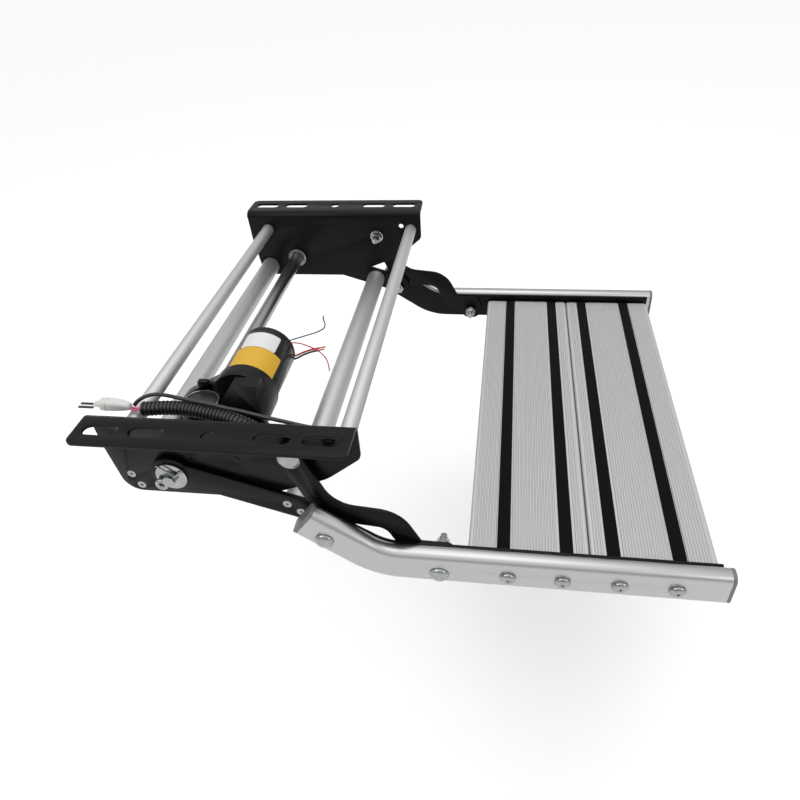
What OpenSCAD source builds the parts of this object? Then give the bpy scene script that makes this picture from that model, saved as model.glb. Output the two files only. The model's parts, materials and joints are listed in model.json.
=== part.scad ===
// Electric pull-out entrance step of a caravan, drawn extended.
// Two flanged side plates carry a four-bar linkage on each side and a tread of two planks.
// The origin is the middle of the mounting-slot pattern on the flange tops.
// +X points out of the vehicle, +Y towards the far plate and +Z up. Sizes are millimetres.

/* [Side plates] */
// Distance between the inner faces of the two webs
web_gap = 524; // [500:1:560]
// Sheet thickness of the side plates
sheet = 3; // [2.5:0.5:4]
// Length of a mounting flange along X
flange_len = 290; // [280:1:310]
// Width of a mounting flange, from the inner face of its web to its outer edge
flange_w = 51; // [46:1:60]
// Inside radius of the bend between web and flange
bend_r = 7; // [4:0.5:9]
// Depth of the web below the flange top
web_h = 113; // [110:1:118]
// Length of a mounting slot
slot_len = 38; // [30:1:42]
// Width of a mounting slot
slot_w = 14.5; // [11:0.5:16]
// Distance of the inner mounting slots from the middle
slot_inner_x = 66; // [62:1:70]
// Distance of the outer mounting slots from the middle
slot_outer_x = 116; // [112:1:118]
// Distance between the two rows of slots
slot_row_gap = 582; // [578:1:586]
// Diameter of the round hole in the middle of each flange
middle_hole_d = 14; // [10:0.5:15]

/* [Cross tubes] */
// Diameter of the two upper cross tubes
upper_tube_d = 18; // [16:1:20]
// Diameter of the lower cross tube and of the tie tube
lower_tube_d = 29; // [28:1:32]
// Wall of all cross tubes
tube_wall = 2; // [1.5:0.5:3]
// Position of the rear upper tube along X
rear_upper_x = -112; // [-118:1:-106]
// Position of the front upper tube along X
front_upper_x = 129.5; // [128:0.5:134]
// Height of both upper tubes
upper_tube_z = -29.5; // [-34:0.5:-27]
// Position of the rear lower tube along X
rear_lower_x = -119; // [-121:1:-117]
// Height of the rear lower tube
rear_lower_z = -96; // [-97:1:-90]
// Distance between the two screws in the end of a lower tube
screw_pair_gap = 18; // [16:1:19]

/* [Linkage] */
// Position of the drive shaft along X
shaft_x = -69; // [-71:1:-67]
// Height of the drive shaft
shaft_z = -80; // [-82:1:-78]
// Position of the fixed arm pivot along X
arm_pivot_x = 72.5; // [70:0.5:75]
// Height of the fixed arm pivot
arm_pivot_z = -41; // [-43:0.5:-39]
// Position of the pivot between link and tread along X
link_pivot_x = 103; // [101:0.5:105]
// Height of the pivot between link and tread
link_pivot_z = -137; // [-139:0.5:-135]
// Position of the pivot between arm and tread along X
tread_pivot_x = 227; // [223:1:231]
// Height of the pivot between arm and tread
tread_pivot_z = -179.5; // [-181:0.5:-178]
// Diameter of the drive shaft
shaft_d = 20; // [16:1:22]
// Width of the lower links
link_w = 30; // [27:1:33]
// How far a link's middle line lies above the line between its pivots
link_rise = 5.4; // [4:0.2:6]
// Width of the swan-neck arms
arm_w = 26; // [22:1:28]
// Diameter of the round end of an arm on the side plate
arm_root_d = 28; // [26:1:32]
// Diameter of the round eye of an arm on the tread
arm_eye_d = 39; // [34:1:42]
// Diameter of the round end of a link on the drive shaft
link_eye_d = 48; // [44:1:50]
// Thickness of the lower links
link_t = 5; // [4:0.5:6]
// Thickness of the swan-neck arms
arm_t = 4.5; // [4:0.5:6]
// Running gap between flat moving faces
side_gap = 0.4; // [0.3:0.1:0.8]
// Diameter of the pivot bolts
pivot_d = 10; // [8:1:12]
// Distance from the drive shaft to the tie tube along the link
tie_at = 139; // [134:1:144]
// How far the tie tube lies above the line between a link's pivots
tie_rise = 3.8; // [3:0.2:5]

/* [Tread] */
// Depth of one plank
plank_w = 131; // [125:1:136]
// Thickness of a plank
plank_t = 26; // [24:1:30]
// Gap between the two planks
plank_gap = 1; // [0.5:0.5:2]
// Distance from the arm pivot to the first plank
plank_start = 29.5; // [28:0.5:34]
// Height of the tread surface above the arm pivot
tread_rise = 15.5; // [14:0.5:17]
// Pitch of the fine ridges on the planks
ridge_pitch = 3.3; // [2.8:0.1:4]
// Height of the fine ridges
ridge_h = 0.9; // [0.6:0.1:1.2]
// Width of a black grip strip
strip_w = 14.5; // [10:0.5:16]
// Distance from a plank's outer edge to its first grip strip
strip_first = 31.5; // [28:0.5:36]
// Distance from a plank's outer edge to its second grip strip
strip_second = 99.5; // [96:0.5:106]
// Distance from a plank's outer edge to its first screw port
port_first = 44.5; // [40:0.5:48]
// Distance from a plank's outer edge to its second screw port
port_second = 102; // [98:0.5:106]

/* [Rails and brackets] */
// Width of the oval side rails
rail_w = 20; // [18:1:24]
// Height of the side rails
rail_h = 40; // [38:1:44]
// Wall of the side rails
rail_wall = 2; // [1.5:0.5:3]
// How far the rail runs past the last plank
rail_overrun = 6; // [4:1:12]
// Upward bend of the rail towards the frame, in degrees
rail_bend = 37; // [34:1:40]
// Bend radius on the rail's middle line
rail_bend_r = 70; // [60:1:80]
// Distance from the arm pivot back to the start of the rail's bend
rail_bend_at = 43; // [40:1:46]
// Straight length of the rail past its bend
rail_tail = 73; // [66:1:80]
// Height of the rail's middle line above the arm pivot
rail_rise = 7.5; // [6:0.5:9]
// Width of the bracket strip behind a rail
bracket_w = 40; // [38:1:42]
// How far the bracket strip's middle line lies above the arm pivot
bracket_rise = 3.2; // [2:0.2:4]
// Thickness of the bracket strip
bracket_t = 3.5; // [3:0.5:4]
// Shank diameter of the plank screws
plank_screw_d = 6; // [5:0.5:7]

/* [Drive unit] */
// Distance from the drive shaft to the motor axis
gear_centre_gap = 60; // [59:0.5:61]
// Slope of the line from the drive shaft to the motor axis, in degrees
gear_slope = 28; // [26:1:30]
// Outside diameter of the motor can
motor_d = 70; // [66:1:71]
// Length of the motor can
motor_len = 82; // [76:1:90]
// Place of the motor can's gearbox end along Y
motor_start_y = -150; // [-152:1:-148]
// Length of the motor's end cap
end_cap_len = 8; // [7:1:10]
// Teeth of each of the two equal gears
gear_teeth = 24; // [22:1:26]
// Face width of the gears
gear_face = 7; // [5:1:8]
// Wall of the gear chamber
gear_wall = 2; // [1.5:0.5:2.5]
// Diameter of the gearbox nose round the motor axis
nose_d = 76; // [74:1:78]
// Length of the gearbox nose towards the near plate
nose_len = 56; // [53:1:59]
// Diameter of the ring round the grease cap
cap_d = 46; // [42:1:47]
// Diameter of the stand-off posts between gearbox and near plate
post_d = 12; // [10:1:14]

/* [Wiring] */
// Outside diameter of the ribbed conduit
conduit_d = 15; // [13:0.5:16]
// Ribs of the conduit between two points of its route
ribs_per_step = 5; // [4:1:6]
// Diameter of the control cable
cable_d = 4.4; // [4:0.2:5]
// Diameter of the two thick motor leads
lead_d = 2.6; // [2:0.2:3]
// Diameter of the two thin motor wires
wire_d = 1.6; // [1.2:0.2:2]

/* [Hidden] */
$fn = 64;

// Pivots in the XZ plane
pivot_a = [shaft_x, shaft_z];
pivot_b = [arm_pivot_x, arm_pivot_z];
pivot_c = [link_pivot_x, link_pivot_z];
pivot_d_at = [tread_pivot_x, tread_pivot_z];
motor_at = pivot_a + gear_centre_gap * [cos(gear_slope), sin(gear_slope)];
link_dir = (pivot_c - pivot_a) / norm(pivot_c - pivot_a);
link_up = [-link_dir.y, link_dir.x];
tie_centre = pivot_a + tie_at * link_dir + tie_rise * link_up;

// Layers of one side, as distances from the middle plane
web_in = web_gap / 2;
web_out = web_in + sheet;
flange_out = web_in + flange_w;
slot_row = slot_row_gap / 2;
bush_flange = 0.6;
link_in = web_out + bush_flange + side_gap;
link_out = link_in + link_t;
arm_in = link_out + side_gap;
arm_out = arm_in + arm_t;
bracket_in = arm_out + side_gap;
bracket_out = bracket_in + bracket_t;
rail_in = bracket_out;
rail_out = rail_in + rail_w;
plank_clear = 1;
plank_end = arm_in - plank_clear;

// Fits
running_fit = 0.05;
thread_fit = 0.05;

// Web outline, from the rear top corner round the bottom to the front top corner
web_rear_x = -flange_len / 2;
web_front_x = flange_len / 2 + 1;
web_points = [
    [web_rear_x, 0],
    [web_rear_x + 2, -46],
    [web_rear_x + 11, -web_h],
    [20, -web_h],
    [106, -78],
    [web_front_x, -45],
    [web_front_x, 0]
];
web_radii = [0, 60, 22, 14, 60, 11, 0];
cable_hole_at = [front_upper_x - 15.5, upper_tube_z + 5.5];
cable_hole_d = 8;

// Rail and bracket middle lines
rail_z = tread_pivot_z + rail_rise;
bend_x = tread_pivot_x - rail_bend_at;
bend_centre = [bend_x, rail_z + rail_bend_r];
first_plank_x = tread_pivot_x + plank_start;
tread_end_x = first_plank_x + 2 * plank_w + plank_gap;
rail_end_x = tread_end_x + rail_overrun;
bracket_end_x = tread_end_x + 1;
tread_z = tread_pivot_z + tread_rise;
port_z = tread_pivot_z + 3;
screw_ports = [
    first_plank_x + port_first,
    first_plank_x + port_second,
    tread_end_x - port_second,
    tread_end_x - port_first
];

// Arm middle line and its rounding radii
arm_points = [pivot_b, [103, -118], [175, -125.5], pivot_d_at + [-30, 9], pivot_d_at];
arm_radii = [0, 50, 30, 18, 0];
arm_foot = [for (p = [[-27, 22], [10, 21], [16, 14], [18, 2], [-27, 3]]) pivot_d_at + p];
arm_foot_radii = [0, 5, 6, 0, 0];

// Fasteners
head_h = 5;
head_rim = 1.5;
head_dome = 0.92;
pivot_head_d = 24;
rail_head_d = 21;
plank_head_d = 17.5;
nut_h = 7;
nut_d = 18;
stub_d = 8;
stub_sleeve = 14;
stub_sleeve_d = 16;
stub_nut_d = 15;
stub_nut_h = 6.5;
stub_end = 7;
spacer_wall = 5;
spacer_d = pivot_d + 2 * spacer_wall;
nut_washer_rim = 1.5;
nut_washer_d = nut_d + 2 * nut_washer_rim;
nut_washer_t = 2;
screw_d = 5;
flat_head_d = 10;
small_head_d = 11;
washer_d = 36;
washer_t = 2.5;

// Gears, both alike
gear_module = gear_centre_gap / gear_teeth;
pressure_angle = 25;
tooth_top = 0.8;
tooth_root = 1.05;
backlash = 0.5;
gear_tip_r = gear_module * (gear_teeth / 2 + tooth_top);

// Drive unit along Y, from the motor can towards the near plate
cover_t = 3;
cover_y = motor_start_y - cover_t;
gear_room = 0.6;
gear_side_room = 1;
gear_y = cover_y - gear_side_room - gear_face;
chamber_inner_y = gear_y - 1;
chamber_y = chamber_inner_y - 3;
nose_y = motor_start_y - nose_len;
chamber_r = gear_tip_r + gear_room + gear_wall;
face_len = 18;
deck_len = 18;
deck_edge_y = nose_y + face_len;
deck_start_y = deck_edge_y + deck_len;
deck_z = motor_at.y + nose_d / 2 - 2.7;
deck_x = [-16, 14];
slope_end_z = motor_at.y + 3.3;
can_wall = 2.5;
can_end_y = motor_start_y + motor_len;
cap_end_y = can_end_y + end_cap_len;
cap_at = [-61.5, -183.5];
cap_top_z = -44;
cap_h = 4;
lug_size = [12, 7];
lug_at = [-72, cover_y - lug_size.y - 0.5];
lug_top_z = -34;
sleeve_d = shaft_d + 12;
sleeve_y = cap_at.y - cap_d / 2;
pinion_shaft_d = 12;
rotor_shaft_d = 8;
reducer_len = 28;
post_places = [[-42, -56], [9, -56]];
cover_screw_d = 4;
cover_boss_d = 9;
cover_screw_reach = motor_d / 2 + 6.5;
chamber_screw_places = [for (a = [-60, -135]) pivot_a + (chamber_r + 2) * [cos(a), sin(a)]];
nose_screw_places = [for (a = [-72, -118]) motor_at + cover_screw_reach * [cos(a), sin(a)]];
cover_screw_places = concat(chamber_screw_places, nose_screw_places);

// Gland of the conduit on the side of the gearbox nose
gland_gap = 0.2;
gland_at = [-200, -70];
gland_reach = 4.4;
gland_face_x = motor_at.x + sqrt(pow(nose_d / 2, 2) - pow(gland_at.y - motor_at.y, 2)) + gland_reach;

// Routes of the wiring, points chosen by hand
conduit_route = [
    [-100, -236, -15.5], [-88, -235, -15], [-72, -233, -15], [-56, -233, -15], [-40, -235, -15],
    [-20, -239, -15.5], [0, -244, -16], [20, -249, -19], [36, -250, -28], [46, -245, -43],
    [51, -234, -57], [52, -218, -66], [47, -204, -70], [gland_face_x + 14.2, gland_at.x, gland_at.y],
    [gland_face_x + gland_gap, gland_at.x, gland_at.y]
];
wire_route = [[-113, -236, -15.5], [-108, -236, -16], [-103, -236, -15.5], [-98, -236, -15.5]];
cable_route = [
    [-112, -231, -15], [-109, -229, -12], [-104, -226, -9], [-98, -223, -7.5], [-89, -221, -6.5],
    [-80, -222, -6], [-71, -224, -5.5], [-57, -228, -5], [-38, -232, -5], [-19, -236, -5.2],
    [0, -240, -6], [18, -243, -7], [36, -247, -8], [51, -250, -9], [68, -252, -11], [84, -253, -14],
    [98, -252, -18], [108, -252, -22], [cable_hole_at.x - 1, -254, cable_hole_at.y],
    [cable_hole_at.x, -259, cable_hole_at.y], [cable_hole_at.x, -264, cable_hole_at.y]
];
black_wire_route = [
    [11, -61.5, -40.5], [11, -59.4, -40.5], [12, -57.6, -40.1], [14.5, -57, -39.2], [22, -57, -36.5],
    [31.4, -57, -33.2], [40, -57, -30.1], [48.7, -57, -27], [56.3, -57, -23.1], [61.2, -57, -19.3],
    [63.1, -57, -13.7], [62, -57, -6], [62.8, -57, -1.8]
];
red_wire_route = [
    [11, -61.5, -44], [11, -59.4, -44], [12, -57.6, -43.8], [14.5, -57, -43.4], [19, -57, -43.3],
    [25.3, -57.5, -43.6], [36.2, -59, -46.3], [46.1, -60, -50.6], [54, -60, -57.4], [58.5, -60, -65.1],
    [60.2, -60, -72.9], [60.4, -60, -84.3]
];
red_lead_route = [
    [9, -61.5, -66], [9, -59, -66], [10.2, -56.8, -65.8], [13, -55.8, -65], [16.6, -55.8, -64.2],
    [27, -55.8, -59.1], [39, -55.8, -54.2], [46, -55.8, -52.4], [50.4, -55.8, -51.2]
];
black_lead_route = [
    [9, -61.5, -70.5], [9, -59, -70.5], [10.2, -56.8, -70.4], [13, -55.8, -69.9], [16.4, -55.8, -68.8],
    [26.4, -55.8, -63.2], [38.5, -55.8, -57.8], [44.5, -55.8, -56.1], [48.5, -55.8, -55]
];
connector_at = [-136, -236, -11];

// Unit vector, corner rounding and outlines
function unit(v) = v / norm(v);
function short_turn(s) = s > 180 ? s - 360 : s < -180 ? s + 360 : s;
function corner(a, b, c, r, steps) =
    let (
        u = unit(a - b),
        w = unit(c - b),
        half = acos(u * w) / 2,
        centre = b + unit(u + w) * r / sin(half),
        start = b + u * r / tan(half) - centre,
        stop = b + w * r / tan(half) - centre,
        from = atan2(start.y, start.x),
        sweep = short_turn(atan2(stop.y, stop.x) - from)
    )
    [for (i = [0 : steps]) centre + r * [cos(from + sweep * i / steps), sin(from + sweep * i / steps)]];
function rounded(points, radii, steps = 8) =
    let (last = len(points) - 1)
    [for (i = [0 : last])
        each radii[i] == 0
            ? [points[i]]
            : let (
                before = points[i == 0 ? last : i - 1],
                after = points[i == last ? 0 : i + 1]
            )
            corner(before, points[i], after, radii[i], steps)];
function side_of(path, i) =
    let (
        last = len(path) - 1,
        ahead = path[min(i + 1, last)] - path[max(i - 1, 0)]
    )
    unit([-ahead.y, ahead.x]);
function ribbon(path, half) = concat(
    [for (i = [0 : len(path) - 1]) path[i] + half * side_of(path, i)],
    [for (i = [len(path) - 1 : -1 : 0]) path[i] - half * side_of(path, i)]
);

function arc(centre, r, from, sweep, steps) =
    [for (i = [0 : steps]) centre + r * [cos(from + sweep * i / steps), sin(from + sweep * i / steps)]];
function round_bar(a, b, ra, rb) =
    let (
        ahead = atan2(b.y - a.y, b.x - a.x),
        tangent = acos((ra - rb) / norm(b - a))
    )
    concat(arc(a, ra, ahead + tangent, 360 - 2 * tangent, 16), arc(b, rb, ahead - tangent, 2 * tangent, 16));

// Involute tooth outline
function involute(a) = tan(a) - a * PI / 180;
function half_tooth(teeth, base, r) =
    90 / teeth - backlash / (gear_module * teeth) * 90 / PI
    + (involute(pressure_angle) - involute(acos(min(1, base / r)))) * 180 / PI;
function polar(r, a) = [r * cos(a), r * sin(a)];
function tooth(teeth, turn) =
    let (
        base = gear_module * teeth / 2 * cos(pressure_angle),
        root = gear_module * (teeth / 2 - tooth_root),
        tip = gear_module * (teeth / 2 + tooth_top),
        low = max(base, root),
        radii = [for (i = [0 : 3]) low + (tip - low) * i / 3]
    )
    concat(
        [polar(root, turn - half_tooth(teeth, base, low) - 1.2)],
        [for (r = radii) polar(r, turn - half_tooth(teeth, base, r))],
        [for (i = [3 : -1 : 0]) polar(radii[i], turn + half_tooth(teeth, base, radii[i]))],
        [polar(root, turn + half_tooth(teeth, base, low) + 1.2)]
    );
function gear_outline(teeth, start) =
    [for (i = [0 : teeth - 1]) each tooth(teeth, start + i * 360 / teeth)];

// Smooth curve through route points, and the tube swept along it
function spline(p, i, t) =
    let (
        last = len(p) - 1,
        a = p[max(i - 1, 0)],
        b = p[i],
        c = p[min(i + 1, last)],
        d = p[min(i + 2, last)]
    )
    0.5 * (2 * b + (c - a) * t + (2 * a - 5 * b + 4 * c - d) * t * t + (3 * b - a - 3 * c + d) * t * t * t);
function smooth_route(p, steps) = concat(
    [for (i = [0 : len(p) - 2]) for (k = [0 : steps - 1]) spline(p, i, k / steps)],
    [p[len(p) - 1]]
);
function route_dir(p, i) = unit(p[min(i + 1, len(p) - 1)] - p[max(i - 1, 0)]);
function ring(p, i, r, sides) =
    let (
        ahead = route_dir(p, i),
        across = unit(cross(ahead, [0.3, 0.1, 1])),
        up = cross(across, ahead)
    )
    [for (k = [0 : sides - 1]) p[i] + r * (cos(360 * k / sides) * across + sin(360 * k / sides) * up)];
function skin(rings, sides) =
    [for (i = [0 : rings - 2]) for (k = [0 : sides - 1])
        let (a = i * sides + k, b = i * sides + (k + 1) % sides)
        each [[a, b, b + sides], [a, b + sides, a + sides]]];
module cord(route, d, steps = 1, sides = 8) {
    p = smooth_route(route, steps);
    rings = len(p);
    last = (rings - 1) * sides;
    polyhedron(
        points = [for (i = [0 : rings - 1]) each ring(p, i, d / 2, sides)],
        faces = concat(
            skin(rings, sides),
            [for (k = [1 : sides - 2]) [0, k + 1, k]],
            [for (k = [1 : sides - 2]) [last, last + k, last + k + 1]]
        )
    );
}

// Placing helpers
module rod(at, d, y0, y1) translate([at.x, y0, at.y]) rotate([-90, 0, 0]) cylinder(d = d, h = y1 - y0);
module cone(at, d0, d1, y0, y1)
    translate([at.x, y0, at.y]) rotate([-90, 0, 0]) cylinder(d1 = d0, d2 = d1, h = y1 - y0);
module slab(y0, y1) translate([0, y1, 0]) rotate([90, 0, 0]) linear_extrude(y1 - y0) children();
module near_side() mirror([0, 1, 0]) children();
module both_sides() {
    children();
    mirror([0, 1, 0]) children();
}
module hex_nut(at, across, y0, y1, bore) difference() {
    translate([at.x, y0, at.y]) rotate([-90, 0, 0]) cylinder(d = across, h = y1 - y0, $fn = 6);
    rod(at, bore, y0 - 1, y1 + 1);
}

// Side plates: web, bend and flange bent from one sheet, with slots
module flange_section() difference() {
    union() {
        translate([web_in + sheet + bend_r, -sheet]) square([flange_w - sheet - bend_r, sheet]);
        translate([web_in, -web_h]) square([sheet, web_h - sheet - bend_r]);
        intersection() {
            translate([web_in, -sheet - bend_r]) square(sheet + bend_r);
            translate([web_in + sheet + bend_r, -sheet - bend_r]) circle(sheet + bend_r);
        }
    }
    translate([web_in + sheet + bend_r, -sheet - bend_r]) circle(bend_r);
}
module flange_plan() polygon(rounded(
    [[-flange_len / 2, flange_out], [-flange_len / 2, web_in], [flange_len / 2 + 1, web_in],
        [flange_len / 2 + 1, web_in + 20], [flange_len / 2, flange_out]],
    [9, 0, 0, 0, 9]));
module slot(at_x) {
    span = slot_len - slot_w;
    for (side = [-1, 1]) translate([at_x + side * span / 2, slot_row, -sheet - 1])
        cylinder(d = slot_w, h = sheet + 2);
    translate([at_x - span / 2, slot_row - slot_w / 2, -sheet - 1]) cube([span, slot_w, sheet + 2]);
}
module side_plate() difference() {
    intersection() {
        translate([-flange_len, 0, 0]) rotate([90, 0, 90]) linear_extrude(2 * flange_len) flange_section();
        union() {
            slab(web_in - 1, web_out + 0.01) polygon(rounded(web_points, web_radii));
            translate([0, 0, -sheet - bend_r]) linear_extrude(sheet + bend_r + 1) flange_plan();
        }
    }
    for (side = [-1, 1]) {
        slot(side * slot_inner_x);
        slot(side * slot_outer_x);
    }
    translate([0, slot_row, -sheet - 1]) cylinder(d = middle_hole_d, h = sheet + 2);
    rod(pivot_a, shaft_d + 6, web_in - 1, web_out + 1);
    rod(pivot_b, pivot_d, web_in - 1, web_out + 1);
    rod(cable_hole_at, cable_hole_d, web_in - 1, web_out + 1);
    for (at = upper_tube_places) rod(at, screw_d + 2 * thread_fit, web_in - 1, web_out + 1);
    for (at = lower_screw_places) flat_screw_seat(at);
}
upper_tube_places = [[rear_upper_x, upper_tube_z], [front_upper_x, upper_tube_z]];
lower_tube_at = [rear_lower_x, rear_lower_z];
lower_screw_dir = [cos(-66), sin(-66)];
lower_screw_places = [for (side = [-1, 1]) lower_tube_at + side * screw_pair_gap / 2 * lower_screw_dir];
tie_screw_dir = [cos(-38), sin(-38)];
tie_screw_places = [for (side = [-1, 1]) tie_centre + side * screw_pair_gap / 2 * tie_screw_dir];
module far_side_plate() color("#1c1c1d") side_plate();
module near_side_plate() color("#1c1c1d") difference() {
    near_side() side_plate();
    near_side() for (at = post_places) flat_screw_seat(at);
}
module flat_screw_seat(at) cone(
    at, screw_d + 2 * thread_fit, flat_head_d + 2 * thread_fit, web_in - 0.01, web_out + 0.01);

// Cross tubes: drawn aluminium with screw ports inside
module port_tube(at, d, half, ports, port_d) difference() {
    union() {
        difference() {
            rod(at, d, -half, half);
            rod(at, d - 2 * tube_wall, -half - 1, half + 1);
        }
        for (port = ports) intersection() {
            rod(port, port_d, -half, half);
            rod(at, d - tube_wall, -half, half);
        }
        if (len(ports) == 1)
            translate([at.x - d / 2 + tube_wall / 2, -half, at.y - 1]) cube([d - tube_wall, 2 * half, 2]);
    }
    for (port = ports) rod(port, screw_d, -half - 1, half + 1);
}
module rear_upper_tube() color("#b9bbbd")
    port_tube(upper_tube_places[0], upper_tube_d, web_in, [upper_tube_places[0]], 9);
module front_upper_tube() color("#b9bbbd")
    port_tube(upper_tube_places[1], upper_tube_d, web_in, [upper_tube_places[1]], 9);
module rear_lower_tube() color("#b9bbbd")
    port_tube(lower_tube_at, lower_tube_d, web_in, lower_screw_places, 9.5);
module tie_tube() color("#b9bbbd")
    port_tube(tie_centre, lower_tube_d, link_in, tie_screw_places, 9.5);
module flat_screw(at, face) {
    cone(at, screw_d - 2 * thread_fit, flat_head_d - 2 * thread_fit, face - sheet, face);
    rod(at, screw_d - 2 * thread_fit, face - sheet - 16, face - sheet);
}
module pan_screw(at, face, head_d, shank_d, length) {
    rod(at, shank_d, face - length, face);
    translate([at.x, face, at.y]) rotate([-90, 0, 0]) rotate_extrude() polygon(concat(
        [[0, 0], [head_d / 2, 0], [head_d / 2, head_rim]],
        [for (a = [0 : 15 : 75]) [head_dome * head_d / 2 * cos(a), head_rim + (head_h - head_rim) * sin(a)]],
        [[0, head_h]]
    ));
}
module lower_tube_screws() color("#c9cbcd") both_sides()
    for (at = lower_screw_places) flat_screw(at, web_out);
module upper_tube_screws() color("#c9cbcd") both_sides()
    for (at = upper_tube_places) pan_screw(at, web_out, small_head_d, screw_d - 2 * thread_fit, 18);
module tie_tube_screws() color("#c9cbcd") both_sides()
    for (at = tie_screw_places) {
        cone(at, screw_d - 2 * thread_fit, flat_head_d - 2 * thread_fit, link_out - sheet, link_out);
        rod(at, screw_d - 2 * thread_fit, link_in - 16, link_out - sheet);
    }

// Drive shaft, its bushes and the fixed arm pivots
module shaft_bushes() color("#b0b3b6") both_sides() difference() {
    union() {
        rod(pivot_a, shaft_d + 6, web_in, web_out);
        rod(pivot_a, shaft_d + 12, web_out, web_out + bush_flange);
        rod(pivot_a, shaft_d + 11, web_in - 3, web_in);
    }
    rod(pivot_a, shaft_d + 2 * running_fit, web_in - 4, web_out + 2);
}
shaft_tip_d = 13;
pin_d = 4;
pin_eye_d = 15.4;
pin_eye_wire = 5;
pin_leg_d = 2.2;
pin_knee_d = 3.4;
pin_tip_room = 1.6;
pin_eye_room = 0.4;
pin_leg_turns = [5, -104];
pin_leg_lengths = [15, 23];
pin_side_room = 1;
pin_y = link_out + washer_t + pin_eye_wire / 2 + pin_side_room;
shaft_tip = 4.5;
shaft_half = pin_y + shaft_tip;
pin_angle = -144;
module drive_shaft() color("#6f7275") difference() {
    union() {
        rod(pivot_a, shaft_d, -link_out, link_out);
        rod(pivot_a, shaft_tip_d, -shaft_half, shaft_half);
    }
    both_sides() pin_hole();
}
module pin_hole() translate([pivot_a.x, pin_y, pivot_a.y]) rotate([0, -pin_angle, 0]) rotate([0, 90, 0])
    cylinder(d = pin_d + 2 * thread_fit, h = 2 * shaft_d, center = true);
module shaft_washers() color("#c9cbcd") both_sides() difference() {
    rod(pivot_a, washer_d, link_out, link_out + washer_t);
    rod(pivot_a, shaft_tip_d + 2 * thread_fit, link_out - 1, link_out + washer_t + 1);
}
module split_pin() translate([pivot_a.x, pin_y, pivot_a.y]) rotate([0, -pin_angle, 0]) {
    tail = shaft_tip_d / 2 + pin_tip_room;
    eye_at = shaft_tip_d / 2 + pin_eye_room + pin_eye_d / 2;
    eye_r = (pin_eye_d - pin_eye_wire) / 2;
    translate([-tail, 0, 0]) rotate([0, 90, 0]) cylinder(d = pin_d, h = tail + eye_at - eye_r);
    translate([eye_at, 0, 0]) rotate([90, 0, 0]) rotate_extrude()
        translate([eye_r, 0]) circle(d = pin_eye_wire);
    translate([-tail, 0, 0]) sphere(d = pin_knee_d);
    for (i = [0, 1]) translate([-tail, 0, 0]) rotate([0, pin_leg_turns[i], 0]) rotate([0, -90, 0])
        cylinder(d = pin_leg_d, h = pin_leg_lengths[i]);
}
module split_pins() color("#c9cbcd") both_sides() split_pin();
pivot_bolt_face = arm_out + side_gap;
pivot_bolt_end = 11;
pivot_bolt_len = pivot_bolt_face - web_in + nut_washer_t + nut_h + pivot_bolt_end;
module pivot_bolts() color("#c4c6c8") both_sides()
    pan_screw(pivot_b, pivot_bolt_face, pivot_head_d, pivot_d - 2 * running_fit, pivot_bolt_len);
module pivot_spacers() color("#8f9295") both_sides() difference() {
    rod(pivot_b, spacer_d, web_out, arm_in - side_gap);
    rod(pivot_b, pivot_d, web_out - 1, arm_in + 1);
}
module pivot_nuts() color("#c4c6c8") both_sides() {
    hex_nut(pivot_b, nut_d, web_in - nut_washer_t - nut_h, web_in - nut_washer_t, pivot_d);
    difference() {
        rod(pivot_b, nut_washer_d, web_in - nut_washer_t, web_in);
        rod(pivot_b, pivot_d, web_in - 3, web_in + 1);
    }
}

// Lower links, turning with the drive shaft
module link_bar() difference() {
    union() {
        slab(link_in, link_out) polygon(round_bar(
            pivot_a + link_rise * link_up, pivot_c + link_rise * link_up, link_w / 2, link_w / 2));
        rod(pivot_a, link_eye_d, link_in, link_out);
    }
    rod(pivot_a, shaft_d, link_in - 1, link_out + 1);
    rod(pivot_c, pivot_d, link_in - 1, link_out + 1);
    for (at = tie_screw_places) {
        cone(at, screw_d + 2 * thread_fit, flat_head_d + 2 * thread_fit, link_out - sheet, link_out + 0.01);
        rod(at, screw_d + 2 * thread_fit, link_in - 1, link_out);
    }
}
module far_link() color("#1a1a1b") link_bar();
module near_link() color("#1a1a1b") near_side() link_bar();

// Swan-neck arms
module arm_plate() difference() {
    union() {
        slab(arm_in, arm_out) polygon(ribbon(rounded_path(arm_points, arm_radii), arm_w / 2));
        rod(pivot_b, arm_root_d, arm_in, arm_out);
        slab(arm_in, arm_out) polygon(rounded(arm_foot, arm_foot_radii));
        rod(pivot_d_at, arm_eye_d, arm_in, arm_out);
    }
    rod(pivot_b, pivot_d, arm_in - 1, arm_out + 1);
    rod(pivot_d_at, pivot_d, arm_in - 1, arm_out + 1);
}
function rounded_path(points, radii) =
    [for (i = [0 : len(points) - 1])
        each radii[i] == 0 ? [points[i]] : corner(points[i - 1], points[i], points[i + 1], radii[i], 14)];
module far_arm() color("#19191a") arm_plate();
module near_arm() color("#19191a") near_side() arm_plate();
module arm_nuts() color("#c4c6c8") both_sides() {
    stub_nut_y = arm_in - stub_sleeve;
    rod(pivot_d_at, pivot_d - 2 * thread_fit, arm_in, arm_out);
    rod(pivot_d_at, stub_d, stub_nut_y - stub_nut_h - stub_end, arm_in);
    hex_nut(pivot_d_at, stub_nut_d, stub_nut_y - stub_nut_h, stub_nut_y, stub_d + 2 * thread_fit);
    difference() {
        rod(pivot_d_at, stub_sleeve_d, stub_nut_y, arm_in);
        rod(pivot_d_at, stub_d + 2 * thread_fit, stub_nut_y - 1, arm_in + 1);
    }
}

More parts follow.
